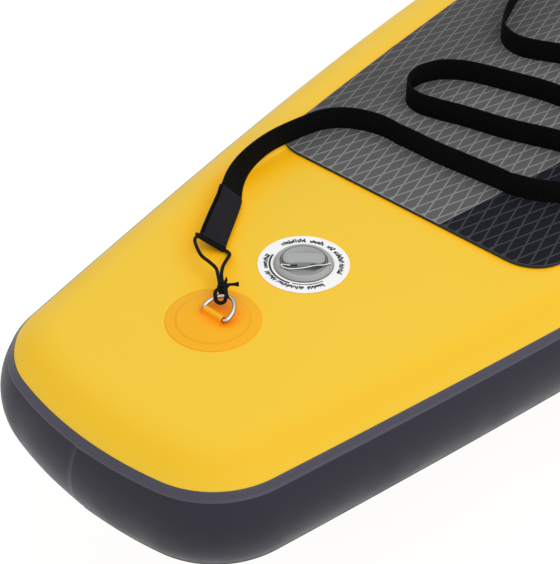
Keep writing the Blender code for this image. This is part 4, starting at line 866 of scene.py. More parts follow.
# %% The diamond grid
def diamond_sheet():
    """A grid sheared into diamonds, over a strip round the middle of the pads."""
    bpy.ops.object.select_all(action="DESELECT")
    bpy.ops.mesh.primitive_grid_add(x_subdivisions=GRID_COUNT, y_subdivisions=GRID_COUNT, size=GRID_COUNT)
    piece = bpy.context.object
    piece.name = "diamond_grid"
    wide, long = DIAMOND
    for vert in piece.data.vertices:
        across, along = vert.co.x + vert.co.y, vert.co.x - vert.co.y
        vert.co = (across * wide / 2 + DIAMOND_AT[0], along * long / 2 + DIAMOND_AT[1], PAD_LOW)
    with editing():
        nose = PAD_NOSE - LENGTH / 2 + DIAMOND[1]
        tail = PAD_TAIL - LENGTH / 2 - DIAMOND[1]
        pick(piece, faces=lambda face: not (abs(face.calc_center_median().x) < GRID_HALF_W
                                            and tail < face.calc_center_median().y < nose))
        bpy.ops.mesh.delete(type="FACE")
        thicken((0, 0, PAD_T))
    return piece


grid = diamond_sheet()
print("grid:", len(grid.data.polygons), "faces")

# %% Trim, groove and bend
def pad(name, outline, holes, foam, groove):
    """One pad: the grid trimmed to its outline, grooved, and laid on the rocker."""
    only(grid)
    bpy.ops.object.duplicate()
    piece = bpy.context.object
    piece.name = name
    trim(piece, "INTERSECT", upright("outline", outline, PAD_LOW - PAD_T, PAD_TOP + PAD_T))
    for hole in holes:
        trim(piece, "DIFFERENCE", upright("hole", hole, PAD_LOW - PAD_T, PAD_TOP + PAD_T))
    coat(piece, foam, groove, foam_side)
    with editing():
        least = 24 * GROOVE_HALF * GROOVE_HALF
        pick(piece, faces=lambda face: face.normal.z > 0.9 and face.calc_area() > least
             and face.calc_area() / face.calc_perimeter() > SLIVER * GROOVE_HALF)
        piece.data.update()
        bpy.ops.mesh.inset(thickness=GROOVE_HALF, use_individual=True)
        mesh = bmesh.from_edit_mesh(piece.data)
        raised = sum(face.select for face in mesh.faces)
        for face in mesh.faces:
            rim = face.normal.z > 0.9 and not face.select
            face.material_index = 2 if abs(face.normal.z) < 0.5 else int(rim)
        for vert in mesh.verts:
            if vert.co.z > PAD_TOP - GAP and not vert.select:
                vert.co.z -= GROOVE_DEPTH
            vert.co.z += rocker(vert.co.y)
        bmesh.update_edit_mesh(piece.data)
    close_up(piece, sharp=18)
    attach(piece, "board")
    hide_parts(name.replace("_foam", ""))
    return raised


middle = HANDLE_FROM_TAIL - LENGTH / 2
half_w = HANDLE_PATCH_R + WELL_MARGIN
well = round_box(half_w, HANDLE_HALF + half_w, half_w * 0.9, 10, middle)
radii = (PAD_REAR_CORNER, PAD_FRONT_CORNER)
grey_outline = pad_outline(port_edge, colour_seam, radii, (0, 0))
dark_outline = pad_outline(lambda y: colour_seam(y) + GAP, starboard_edge, (0, 0), radii)
raised = pad("deck_pad_grey_foam", grey_outline, [well], grey_foam, grey_groove)
raised += pad("deck_pad_dark_foam", dark_outline, [], dark_foam, dark_groove)
bpy.data.objects.remove(grid, do_unlink=True)
print("pads:", raised, "raised diamonds")

# %% [markdown]
# ## The towing rings
#
# A round patch of amber cloth is glued down at each end of the board, with a smaller disc on it. The
# smaller disc's cloth is folded over the straight side of a D-shaped steel ring, so that the fold makes a
# sleeve the ring turns in. The ring is round bar, bent to its shape.

# %% Round bar and loose line
def run_length(line):
    """The length of a line of points."""
    return float(np.linalg.norm(np.diff(line[:, :3], axis=0), axis=1).sum())


def far_along(line):
    """How far each point of a line is from its start."""
    return np.concatenate([[0], np.cumsum(np.linalg.norm(np.diff(line[:, :3], axis=0), axis=1))])


def wire(name, points, radius, closed=False, sides=12):
    """A round bar along a line."""
    curve = bpy.data.curves.new(name, "CURVE")
    curve.dimensions = "3D"
    curve.bevel_depth = radius
    curve.bevel_resolution = (sides - 4) // 2
    curve.use_fill_caps = not closed
    line = curve.splines.new("POLY")
    line.points.add(len(points) - 1)
    line.use_cyclic_u = closed
    for spot, place in zip(line.points, points):
        spot.co = (*place, 1)
    piece = bpy.data.objects.new(name, curve)
    bpy.context.scene.collection.objects.link(piece)
    only(piece)
    bpy.ops.object.convert(target="MESH")
    return close_up(bpy.context.object)


def smooth_run(points, samples):
    """Evenly spaced points on a smooth curve through the given ones."""
    rows = np.array(points, dtype=float)
    rows = np.vstack([2 * rows[0] - rows[1], rows, 2 * rows[-1] - rows[-2]])
    t = np.linspace(0, 1, 12, endpoint=False)[:, None]
    found = []
    for a, b, c, d in zip(rows, rows[1:], rows[2:], rows[3:]):
        found.append(0.5 * (2 * b + (c - a) * t + (2 * a - 5 * b + 4 * c - d) * t ** 2
                            + (3 * b - a - 3 * c + d) * t ** 3))
    found = np.vstack(found + [rows[-2:-1]])
    far = far_along(found)
    even = np.linspace(0, far[-1], samples)
    return np.column_stack([np.interp(even, far, column) for column in found.T])


# %% Ring and patch sizes
RING_Y, NOSE_RING_Y = 0.204 - LENGTH / 2, 2.960 - LENGTH / 2
RING_X = -0.006
PATCH_R, PATCH_INNER_R, PATCH_T = 0.0495, 0.0390, 0.0008
RING_WIRE_R, RING_HALF_W, RING_DEPTH, RING_CORNER_R = 0.0021, 0.0165, 0.0245, 0.0036
SLEEVE_HALF, SLEEVE_R, SLEEVE_FORWARD = 0.0125, 0.0039, 0.0018
RING_LIFT = {"tail": 20.0, "nose": 22.0}
SLEEVE_BORE = 0.0028


def ring_line():
    """The ring's middle line, flat, from the middle of its bar."""
    bar, rise = RING_HALF_W - RING_CORNER_R, RING_DEPTH - RING_CORNER_R
    straight = [(step / 4 * bar, 0.0) for step in range(-4, 5)]
    corner = [(bar + RING_CORNER_R * math.sin(turn), RING_CORNER_R * (1 - math.cos(turn)))
              for turn in (math.pi / 12 * step for step in range(1, 6))]
    bow = [(RING_HALF_W * math.cos(turn), RING_CORNER_R + rise * math.sin(turn))
           for turn in (math.pi / 32 * step for step in range(33))]
    points = straight + corner + bow + [(-x, y) for x, y in reversed(corner)]
    return [(x, y, 0.0) for x, y in points]


def sleeve_section(x, rise):
    """The fold's outside and foot at one place along it, as a closed line round it."""
    spread = 1.0 + 0.30 * (abs(x) / SLEEVE_HALF) ** 2
    foot = -rise
    side = [(0.0105 * spread, foot), (0.0082 * spread, foot + 0.0004), (0.0060, foot + 0.0012),
            (0.0046, foot + 0.0026)]
    top = [(SLEEVE_R * math.cos(turn), SLEEVE_R * math.sin(turn))
           for turn in (math.radians(angle) for angle in (10, 30, 50, 70, 90, 110, 130, 150, 170))]
    return [(x, y, z) for y, z in side + top + [(-y, z) for y, z in reversed(side)]]


def deck_rise(y):
    """How far the deck ply has risen, straight between the outline's stations as its own strips are."""
    rows = [point.y for point, _ in STARBOARD]
    return float(np.interp(y, rows, [rocker(row) for row in rows]))


def towing_ring(end, x, y):
    """Patch, sleeve and ring at one end of the board. The patch and the sleeve follow the deck's slope there.
    """
    base = DECK + GAP + deck_rise(y)
    axle = y + SLEEVE_FORWARD
    slope = math.atan2(deck_rise(axle + SLEEVE_R) - deck_rise(axle - SLEEVE_R), 2 * SLEEVE_R)
    t = PATCH_T
    low = 0.00004 - GAP
    profile = [(0.0001, low), (PATCH_R, low), (PATCH_R, low + 0.0001), (PATCH_R - 0.0008, t * 0.5),
               (PATCH_R - 0.0022, t), (PATCH_INNER_R + 0.0003, t), (PATCH_INNER_R, t + 0.0001),
               (PATCH_INNER_R - 0.0008, 1.6 * t), (PATCH_INNER_R - 0.0020, 2 * t), (0.0001, 2 * t)]
    patch = spun(f"{end}_patch", profile, (x, y, base), 128, 30)
    for vert in patch.data.vertices:
        vert.co.z += deck_rise(vert.co.y) - deck_rise(y)
    rise = 2 * t + SLEEVE_R
    pivot = (x, axle, DECK + GAP + deck_rise(axle) + rise)
    shares = (-1, -0.92, -0.6, 0, 0.6, 0.92, 1)
    sections = [sleeve_section(SLEEVE_HALF * share, rise - t) for share in shares]
    fold = seal_ends(loft(f"{end}_ring_fold", sections))
    fold.rotation_euler = (slope, 0, 0)
    fold.location = pivot
    close_up(fold, sharp=50)
    trim(patch, "UNION", fold)
    trim(patch, "DIFFERENCE", drill(SLEEVE_BORE, 2 * PATCH_R, pivot, 32, (0, math.pi / 2, 0)))
    close_up(patch, sharp=32)
    # the faces on the two steps get the darker amber of a painted shade
    for face in patch.data.polygons:
        far = math.hypot(face.center.x - x, face.center.y - y)
        step = PATCH_INNER_R - 0.0018 < far < PATCH_INNER_R + 0.0004 or far > PATCH_R - 0.0009
        above = face.center.z > DECK + GAP + deck_rise(face.center.y)
        face.material_index = int(step and above)
    coat(patch, patch_cloth, patch_step_painted_shade)
    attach(patch, "board")
    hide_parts(f"{end}_ring_patch")
    ring = wire(f"{end}_ring_steel", ring_line(), RING_WIRE_R, closed=True, sides=20)
    ring.rotation_euler = (math.radians(RING_LIFT[end]), 0, 0)
    ring.location = pivot
    close_up(ring, sharp=60)
    coat(ring, bright_steel)
    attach(ring, f"{end}_ring")
    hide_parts(f"{end}_ring")
    return patch, ring


for end, x, y in (("tail", RING_X, RING_Y), ("nose", 0.0, NOSE_RING_Y)):
    patch, ring = towing_ring(end, x, y)
    print(end, "patch", len(patch.data.polygons), "faces, ring", len(ring.data.polygons), "faces")

# %% [markdown]
# ## The valve
#
# The inflation valve is screwed together through the deck, with a printed film round it. Its flange slopes
# up to a rounded rim, and the cap sits in the recess: a bowl with a thick bar across it, turned 42 degrees,
# waisted on its near side for the fingers. A pale tether lies loose over the rim.

# %% Valve sizes
LABEL_R, LABEL_T = 0.0496, 0.0004
FLANGE_R, RIM, CUP_R, CUP_FLOOR = 0.0324, 0.0058, 0.0254, -0.0083
BARREL_R, BARREL_BORE_R, BARREL_LOW, SEAT_BORE_R, SEAT_T = 0.0190, 0.0150, -0.0400, 0.0120, 0.0025
CAP_R, CAP_UNDER, SKIRT_T, SKIRT_L = 0.0252, -0.0059, 0.0016, 0.0060
BAR_HALF, BAR_W, BAR_TOP, BAR_TURN, BAR_WAIST = 0.0226, 0.0182, 0.0090, math.radians(42), 0.0020
TETHER_R = 0.0006
VALVE = Vector((*VALVE_AT, DECK))


# %% Film and print
# each line's radius, height, pitch in degrees and seed, and where its words start and end, in degrees
PRINT = [(0.0413, 0.0062, 3.3, 0, [(168, 129), (122, 99), (92, 80), (75, 47), (43, 18)]),
         (0.0415, 0.0054, 2.9, 20, [(-17, -43), (-48, -89), (-94, -118), (-126, -160)]),
         (0.0360, 0.0020, 1.8, 40, [(-68, -15)])]
STROKE = (0.0366, 0.0022, -163, -72)        # the long curved stroke's radius, width, start and end
TICK, RUNG, RUNG_ODDS = 0.64, 0.46, 0.75    # a tick's share of the pitch, a rung's height, how often it comes
INK_LOW, INK_HIGH = 0.00002, 0.00008


def stamped(name, outlines, low, high):
    """Flat marks: every outline is one face, and all are raised together."""
    points, faces = [], []
    for outline in outlines:
        faces.append(range(len(points), len(points) + len(outline)))
        points += [(x, y, low) for x, y in outline]
    piece = joined_up(name, points, [], faces)
    with editing():
        thicken((0, 0, high - low))
    return piece


def arc_band(radius, height, start, end):
    """A curved stroke between two angles, in degrees."""
    steps = max(2, round(abs(end - start) / 3))
    turns = [math.radians(start + (end - start) * step / steps) for step in range(steps + 1)]
    low, high = radius - height / 2, radius + height / 2
    return ([(low * math.cos(turn), low * math.sin(turn)) for turn in turns]
            + [(high * math.cos(turn), high * math.sin(turn)) for turn in reversed(turns)])


def tick_row(radius, height, start, end, pitch, seed):
    """A row of short ticks of uneven height, as a line of print seen from afar."""
    pick_size = random.Random(seed)
    marks = []
    step = math.copysign(pitch, end - start)
    angle = start
    while abs(angle - start) < abs(end - start):
        tall = height * pick_size.choice((0.62, 0.75, 1.0))
        marks.append(arc_band(radius - (height - tall) / 2, tall, angle, angle + step * TICK))
        if pick_size.random() < RUNG_ODDS:
            rung = radius + height * pick_size.choice((-0.35, -0.05, 0.2))
            marks.append(arc_band(rung, height * RUNG, angle + step * TICK, angle + step))
        angle += step
    return marks


film_top = GAP + LABEL_T
film = spun("valve_film", [(FLANGE_R + GAP, GAP), (LABEL_R, GAP), (LABEL_R, GAP + LABEL_T * 0.7),
                           (LABEL_R - LABEL_T * 0.5, film_top), (FLANGE_R + GAP, film_top)], VALVE, 128, 30)
coat(film, label_film)
marks = [arc_band(*STROKE)]
for radius, height, pitch, seed, words in PRINT:
    for number, (first, last) in enumerate(words):
        marks += tick_row(radius, height, first, last, pitch, seed + number)
ink = stamped("valve_film_print", marks, film_top + INK_LOW, film_top + INK_HIGH)
ink.location = VALVE
close_up(ink, merge=1e-8)
coat(ink, label_ink)
for piece in (film, ink):
    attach(piece, "board")
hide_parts("valve_label")
print("film print:", len(marks), "marks")


# %% Body
CUP_BASE_T = 0.0035
HUB_TOP, HUB_LOW, HUB_R, HUB_BORE_R, SPOKE_T = -0.0290, -0.0340, 0.0042, 0.0024, 0.0030


def valve_body():
    """Flange, recess and barrel in one turned piece, with the cross that guides the poppet's stem."""
    seat, base = BARREL_LOW + SEAT_T, CUP_FLOOR - CUP_BASE_T
    profile = [(CUP_OUTER_R, GAP), (FLANGE_R - 0.0004, GAP), (FLANGE_R, GAP + 0.0004), (FLANGE_R, 0.0016),
               (FLANGE_R - 0.0003, 0.0023), (FLANGE_R - 0.0010, 0.0028), (0.0305, 0.0041), (0.0288, 0.0050),
               (0.0274, 0.0056), (0.0266, RIM), (0.0261, RIM - 0.0001), (0.0256, RIM - 0.0005),
               (CUP_R, RIM - 0.0012), (CUP_R, CUP_FLOOR + 0.0015), (CUP_R - 0.0005, CUP_FLOOR + 0.0004),
               (CUP_R - 0.0015, CUP_FLOOR), (BARREL_BORE_R + 0.0005, CUP_FLOOR),
               (BARREL_BORE_R, CUP_FLOOR - 0.0005), (BARREL_BORE_R, seat), (SEAT_BORE_R, seat),
               (SEAT_BORE_R, BARREL_LOW), (BARREL_R, BARREL_LOW), (BARREL_R, base), (CUP_OUTER_R, base)]
    piece = spun("valve_flange", profile, VALVE, 128, 30)
    hub_h = HUB_TOP - HUB_LOW
    hub_at = VALVE + Vector((0, 0, (HUB_TOP + HUB_LOW) / 2))
    for turn in (0, math.pi / 2):
        trim(piece, "UNION", block(hub_at, (2 * BARREL_BORE_R + 0.002, SPOKE_T, hub_h), turn))
    trim(piece, "UNION", drill(HUB_R, hub_h, hub_at, 32))
    trim(piece, "DIFFERENCE", drill(HUB_BORE_R, 4 * hub_h, VALVE + Vector((0, 0, HUB_LOW)), 24))
    close_up(piece, sharp=28)
    coat(piece, valve_plastic)
    return piece


flange = valve_body()
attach(flange, "board")
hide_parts("valve_body")


# %% Cap: bowl and bar
BAR_LOW, BAR_ROUND = -0.0030, 0.0016
FINGER_AT, FINGER_SIZE = (0.0115, 0.0042), (0.0090, 0.0070, 0.0034)


def valve_cap():
    """The bowl is turned; the bar is drawn in plan, raised, rounded and joined to it."""
    skirt = BARREL_BORE_R - GAP
    bowl = spun("valve_cap_bowl", [
        (0.0001, CAP_UNDER), (skirt - SKIRT_T, CAP_UNDER), (skirt - SKIRT_T, CAP_UNDER - SKIRT_L),
        (skirt, CAP_UNDER - SKIRT_L), (skirt, CAP_UNDER), (CAP_R, CAP_UNDER), (CAP_R, RIM - 0.0009),
        (CAP_R - 0.0004, RIM - 0.0005), (CAP_R - 0.0010, RIM - 0.0004), (0.0236, RIM - 0.0006),
        (0.0224, RIM - 0.0013), (0.0208, RIM - 0.0025), (0.0190, RIM - 0.0037), (0.0168, RIM - 0.0048),
        (0.0138, RIM - 0.0057), (0.0100, RIM - 0.0062), (0.0001, RIM - 0.0063)], (0, 0, 0), 128, 30)
    corner = BAR_W * 0.40
    flat = BAR_HALF - corner - GAP
    near = [(x, BAR_WAIST * (1 - (x / flat) ** 2) - BAR_W / 2) for x in np.linspace(-flat, flat, 17)]
    ends = round_box(BAR_HALF, BAR_W / 2, corner, 8)
    bar = upright("valve_cap_bar", ends[:9] + near + ends[9:], BAR_LOW, BAR_TOP)
    with editing():
        pick(bar, edges=lambda edge: edge.is_manifold
             and min(vert.co.z for vert in edge.verts) > BAR_TOP - GAP)
        bpy.ops.mesh.bevel(offset=BAR_ROUND, segments=4)
    trim(bowl, "UNION", bar)
    for side in (-1, 1):
        trim(bowl, "DIFFERENCE", block((side * FINGER_AT[0], -BAR_W / 2, FINGER_AT[1]), FINGER_SIZE))
    bowl.rotation_euler = (0, 0, BAR_TURN)
    bowl.location = VALVE
    close_up(bowl, sharp=35)
    coat(bowl, valve_plastic)
    return bowl


cap = valve_cap()
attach(cap, "cap")
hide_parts("valve_cap")
print("flange", len(flange.data.polygons), "faces, cap", len(cap.data.polygons), "faces")

# %% Tether
TETHER_ROUTE = [(-0.0033, -0.0178), (-0.0080, -0.0202), (-0.0112, -0.0226), (-0.0100, -0.0246),
                (-0.0055, -0.0248), (0.0000, -0.0222), (0.0052, -0.0172), (0.0108, -0.0092),
                (0.0160, 0.0002), (0.0226, 0.0080), (0.0255, 0.0145)]
hang = smooth_run([(x, y, RIM + GAP + TETHER_R) for x, y in TETHER_ROUTE], 90) + np.array(VALVE)
tether = wire("cap_tether", hang, TETHER_R, sides=10)
coat(tether, tether_line)
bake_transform(tether)
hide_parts("valve_tether")

# %% [markdown]
# ### The poppet's spring
#
# Down in the barrel a small coil spring stands on the cross and holds the poppet shut.

# %% Poppet spring
SPRING_LOW, SPRING_HIGH, SPRING_WIRE_R, SPRING_R = -0.0282, -0.0148, 0.0005, 0.0037
SPRING_TURNS, POPPET_TRAVEL = 4, 0.006


def poppet_spring():
    """Four turns of thin steel wire."""
    turns = np.linspace(0, 2 * math.pi * SPRING_TURNS, 24 * SPRING_TURNS + 1)
    heights = np.linspace(SPRING_LOW, SPRING_HIGH, len(turns))
    points = np.column_stack([SPRING_R * np.cos(turns), SPRING_R * np.sin(turns), heights])
    coil = wire("poppet_spring", points + np.array(VALVE), SPRING_WIRE_R, sides=8)
    coat(coil, bright_steel)
    return coil


spring = poppet_spring()
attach(spring, "board")
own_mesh(spring)
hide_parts("valve_spring")

# %% [markdown]
# ## The leash
#
# A flat strap, 30 mm wide, stands on its edge in loose folds. One end is sewn into a fabric tab, and a
# string through the tab's hem is tied to the tail ring. The other end carries an ankle cuff. The strap is
# one woven rib, repeated along the line and then laid along the folds.

# %% Lay a straight piece along a line
def frames(line):
    """How far along each station is, and which way a piece's width and its thickness lie there."""
    far = far_along(line)
    way = np.gradient(line[:, :3], far, axis=0)
    way /= np.linalg.norm(way, axis=1)[:, None]
    port = np.cross((0.0, 0.0, 1.0), way)
    port /= np.linalg.norm(port, axis=1)[:, None]
    up = np.cross(way, port)
    lean = np.radians(line[:, 3])[:, None]
    across = port * np.cos(lean) + up * np.sin(lean)
    return far, across, np.cross(way, across)


def lay(piece, line):
    """Move a straight piece onto a line: its X runs along, its Y across and its Z through the strap."""
    far, across, through = frames(line)
    flat = np.empty(len(piece.data.vertices) * 3)
    piece.data.vertices.foreach_get("co", flat)
    flat = flat.reshape(-1, 3)

    def there(values):
        """The values at each vertex's place along the line."""
        return np.column_stack([np.interp(flat[:, 0], far, values[:, axis]) for axis in range(3)])

    laid = there(line) + flat[:, 1:2] * there(across) + flat[:, 2:3] * there(through)
    piece.data.vertices.foreach_set("co", laid.ravel())
    piece.data.update()


# %% The route, from the tab to the cuff
PAD_EDGE = PAD_TAIL - LENGTH / 2
RUN = 0.0004
WEB_W, WEB_T, TAB_W, TAB_T, HEM_R, STRING_R = 0.030, 0.0020, 0.032, 0.0046, 0.0042, 0.0016
LEANS = (38, 56, 76, 88)                    # degrees off flat at the start, and upright from there on
ROUTE = [
    (-0.136, 0.159), (-0.154, 0.186), (-0.167, 0.219), (-0.170, 0.256), (-0.167, 0.297), (-0.157, 0.341),
    (-0.135, 0.366), (-0.100, 0.379), (-0.057, 0.379), (-0.016, 0.378), (0.020, 0.380), (0.082, 0.385),
    (0.113, 0.392), (0.138, 0.407), (0.158, 0.426), (0.167, 0.450), (0.162, 0.474), (0.144, 0.492),
    (0.115, 0.500), (0.080, 0.498), (0.019, 0.478), (-0.036, 0.466), (-0.072, 0.456), (-0.098, 0.452),
    (-0.121, 0.461), (-0.136, 0.483), (-0.138, 0.509), (-0.128, 0.533), (-0.110, 0.552), (-0.086, 0.563),
    (-0.049, 0.573), (-0.005, 0.584), (0.029, 0.588), (0.074, 0.595), (0.112, 0.609), (0.132, 0.636),
    (0.125, 0.666), (0.096, 0.687), (0.054, 0.695), (0.004, 0.693), (-0.036, 0.680), (-0.079, 0.662),
    (-0.108, 0.664), (-0.134, 0.684), (-0.153, 0.719), (-0.168, 0.756), (-0.183, 0.797), (-0.193, 0.847),
    (-0.188, 0.899), (-0.161, 0.936), (-0.120, 0.955), (-0.070, 0.957), (-0.020, 0.950), (0.030, 0.938),
    (0.078, 0.928), (0.120, 0.925),
]
CLIMB_FROM, CLIMB_OVER = 0.060, 0.034       # how far before the pad's edge the strap rises, and over how far


def station(number):
    """A place on the route: the strap's middle line over what it stands on, and its lean."""
    x, y = ROUTE[number]
    lean = LEANS[number] if number < len(LEANS) else 90
    width = WEB_W if number else TAB_W + TAB_T
    over = width / 2 * math.sin(math.radians(lean)) + WEB_T / 2 * math.cos(math.radians(lean))
    onto_pad = min(max((y + RING_Y - PAD_EDGE + CLIMB_FROM) / CLIMB_OVER, 0.0), 1.0)
    ground = DECK + GAP + RUN + (PAD_TOP - DECK) * onto_pad
    return (x, y + RING_Y, ground + over, lean)


strap_line = smooth_run([station(number) for number in range(len(ROUTE))], 900)

# %% Creases left from packing
CREASES = [((0.0865, -1.0037), 0.0026), ((-0.1245, -0.8632), -0.0020), ((-0.0690, -1.0120), 0.0014)]
CREASE_REACH = 0.009


def creased(line):
    """The line with a few sharp creases in it, each given by its place and how far it stands out."""
    far, _, through = frames(line)
    line = line.copy()
    for place, depth in CREASES:
        at = far[np.argmin(np.hypot(line[:, 0] - place[0], line[:, 1] - place[1]))]
        line[:, :3] += through * (depth * np.exp(-np.abs(far - at) / CREASE_REACH))[:, None]
    return line


# %% A strap is one rib repeated
RIB = 0.0026
CROWN = (0.30, 0.70)                        # the share of a rib that stands proud
VALLEY = 0.66                               # how thick the strap is between two ribs


def rib_section(x, width, thick, fat):
    """One line round a strap, thinner in the valley between two ribs."""
    half, t = width / 2, thick / 2 * fat
    side = [(half - 0.0016, t), (half - 0.0004, t * 0.75), (half * (0.965 + 0.035 * fat), 0.0),
            (half - 0.0004, -t * 0.75), (half - 0.0016, -t)]
    return [(x, y, z) for y, z in side] + [(x, -y, z) for y, z in reversed(side)]


def ribbed_strap(name, line, width, thick):
    """A woven strap along a line, as one rib repeated and laid on it."""
    length = run_length(line)
    count = int(length / RIB)
    pitch = length / count
    shape = [(0.0, VALLEY), (CROWN[0], 1.0), (CROWN[1], 1.0), (1.0, VALLEY)]
    piece = loft(name, [rib_section(pitch * share, width, thick, fat) for share, fat in shape], ends="ring")
    # crown faces get the painted highlight
    for face in piece.data.polygons:
        face.material_index = int(CROWN[0] < face.center.x / pitch < CROWN[1])
    modify(piece, "ARRAY", count=count, use_merge_vertices=True, merge_threshold=pitch / 50,
           use_relative_offset=False, use_constant_offset=True, constant_offset_displace=(pitch, 0, 0))
    seal_ends(piece)
    lay(piece, line)
    close_up(piece, merge=1e-7, sharp=60)
    coat(piece, black_strap, strap_painted_highlight)
    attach(piece, "board")
    print(name, round(length, 3), "m,", count, "ribs,", len(piece.data.polygons), "faces")
    return piece, length


strap, strap_length = ribbed_strap("leash_strap", creased(strap_line), WEB_W, WEB_T)
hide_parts("leash_webbing")

# %% [markdown]
# ## Tab, string and knot
#
# The tab is two layers of fabric sewn over the strap's end, with a rolled hem at its other end. A braided
# string runs through the hem, and its two strands come together and are knotted round the tail ring.

# %% Tab
TAB_START = (-0.0869, 0.0797, 30)
start_over = (TAB_W / 2 + 2 * STRING_R) * math.sin(math.radians(TAB_START[2])) + STRING_R
tab_start = Vector((TAB_START[0], TAB_START[1] + RING_Y, DECK + 2 * GAP + start_over))
tab_end = Vector(strap_line[0][:3])
tab_way = (tab_end - tab_start).normalized()
tab_port = Vector((0, 0, 1)).cross(tab_way).normalized()
tab_across = (tab_port * math.cos(math.radians(TAB_START[2]))
              + tab_way.cross(tab_port) * math.sin(math.radians(TAB_START[2])))
leave = (Vector(strap_line[6][:3]) - tab_end).normalized()
tab_line = smooth_run([(*tab_start, TAB_START[2]), (*(tab_start + tab_way * 0.030), 31),
                       (*(tab_end - leave * 0.014), 37), (*(tab_end + leave * 0.004), 38.5)], 60)
tab_length = run_length(tab_line)

LIP = 0.0034                                # how far the strap shows beyond the tab's front layer
SLANT = 0.0022                              # the tab's far end is cut on the slant


def tab_section(x, wide, thick, slant):
    """A soft-edged line round the tab, with the strap's edge showing as a lip along one side."""
    half, t = TAB_W / 2 * wide, thick / 2
    front = half - LIP
    lip = [(front - 0.0030, t), (front - 0.0008, t * 0.9), (front, t * 0.3), (front + 0.0008, t * 0.1),
           (half - 0.0010, t * 0.15), (half + 0.0006, 0.0), (half + 0.0004, -t * 0.7), (half - 0.0010, -t),
           (half - 0.0045, -t)]
    edge = [(half - 0.0045, -t), (half - 0.0018, -t * 0.93), (half - 0.0005, -t * 0.62), (half, 0.0),
            (half - 0.0005, t * 0.62), (half - 0.0018, t * 0.93), (half - 0.0045, t)]
    line = lip + [(-y, z) for y, z in edge]
    return [(x + slant * y / half, y, z) for y, z in line]


def build_tab():
    """Two sewn layers, a stitched groove near each end, and the hem rolled round the string."""
    hem_end = [(0.0024, 1.0, 0.0030), (0.0050, 1.0, 0.0036), (0.0066, 1.0, 0.0030), (0.0074, 1.0, 0.0034),
               (0.0100, 1.0, 0.0046), (0.0200, 1.0, 0.0050), (0.0450, 1.0, 0.0050)]
    strap_end = [(0.0240, 0.99, 0.0048), (0.0210, 0.99, 0.0040), (0.0200, 0.99, 0.0044),
                 (0.0050, 0.98, 0.0046), (0.0022, 0.96, 0.0040), (0.0006, 0.93, 0.0030), (0.0, 0.91, 0.0024)]
    sections = [tab_section(*row, 0.0) for row in hem_end]
    sections += [tab_section(tab_length - short, wide, thick, SLANT) for short, wide, thick in strap_end]
    piece = seal_ends(loft("leash_tab_fabric", sections))
    half = TAB_W / 2
    hem = spun("hem", [(0.0001, -half), (HEM_R - 0.0008, -half), (HEM_R, -half + 0.0008),
                       (HEM_R, half - 0.0008), (HEM_R - 0.0008, half), (0.0001, half)], (0, 0, 0), 32)
    hem.rotation_euler = (math.pi / 2, 0, 0)
    close_up(hem)
    trim(piece, "UNION", hem)
    trim(piece, "DIFFERENCE", drill(STRING_R + 0.0006, 2 * TAB_W, (0, 0, 0), 24, (math.pi / 2, 0, 0)))
    for face in piece.data.polygons:
        face.material_index = int(face.center.y > TAB_W / 2 - LIP and face.center.x > HEM_R)
    lay(piece, tab_line)
    close_up(piece, sharp=40)
    coat(piece, black_fabric, black_strap)
    return piece


tab = build_tab()
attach(tab, "board")
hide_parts("leash_tab")

# %% String
HIGH_STRAND = [(-0.0990, 0.0693, 0.0205), (-0.0940, 0.0612, 0.0205), (-0.0745, 0.0505, 0.0190),
               (-0.0588, 0.0485, 0.0180), (-0.0468, 0.0459, 0.0175), (-0.0350, 0.0373, 0.0175)]
LOW_STRAND = [(-0.0637, 0.0830, 0.0065), (-0.0579, 0.0728, 0.0085), (-0.0503, 0.0597, 0.0115),
              (-0.0403, 0.0472, 0.0145), (-0.0295, 0.0372, 0.0165)]
KNOT_TURN = math.radians(122)
STRING_LOOK_R = 0.0019                      # the braid is a little fluffy
ring_place = Matrix.Translation((RING_X, RING_Y + SLEEVE_FORWARD, DECK + GAP + 2 * PATCH_T + SLEEVE_R))
ring_place = ring_place @ Matrix.Rotation(math.radians(RING_LIFT["tail"]), 4, "X")
ring_rise = RING_DEPTH - RING_CORNER_R
bow = Vector((RING_HALF_W * math.cos(KNOT_TURN), RING_CORNER_R + ring_rise * math.sin(KNOT_TURN), 0))
bow_along = Vector((-RING_HALF_W * math.sin(KNOT_TURN), ring_rise * math.cos(KNOT_TURN), 0)).normalized()
bow_out = Vector((bow_along.y, -bow_along.x, 0))
bow_out *= math.copysign(1, bow_out.y)


def by_bow(along, out, above):
    """A place by the ring's bow: along the bar, out from the ring and above its plane, in millimetres."""
    return ring_place @ (bow + (bow_along * along + bow_out * out + Vector((0, 0, above))) / 1000)


at_ring = Vector((0, RING_Y, DECK))
high = [at_ring + Vector(place) for place in HIGH_STRAND]
low = [at_ring + Vector(place) for place in LOW_STRAND]
hem_out = tab_across * (TAB_W / 2 + 2 * STRING_R)
string_points = [by_bow(1.7, 10.0, 2.2)] + high[::-1] + [tab_start + hem_out]
string_points += [tab_start + tab_across * TAB_W * share for share in (0.52, 0.4, 0, -0.4, -0.52)]
string_points += [tab_start - hem_out] + low + [by_bow(-1.7, 10.0, 2.2)]
string_line = smooth_run(string_points, 240)
string = wire("leash_cord", string_line, STRING_LOOK_R)
coat(string, black_string)
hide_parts("leash_string")
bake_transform(string)

# %% Knot
def tube(name, places, radius=STRING_LOOK_R, samples=40):
    """A length of string through places by the ring's bow."""
    return wire(name, smooth_run([tuple(by_bow(*place)) for place in places], samples), radius)


def merged(name, pieces, cloth):
    """Several meshes as one object."""
    bpy.ops.object.select_all(action="DESELECT")
    for piece in pieces:
        piece.select_set(True)
    bpy.context.view_layer.objects.active = pieces[0]
    bpy.ops.object.join()
    joined = bpy.context.object
    joined.name = name
    joined.data.materials.clear()
    coat(joined, cloth)
    return joined


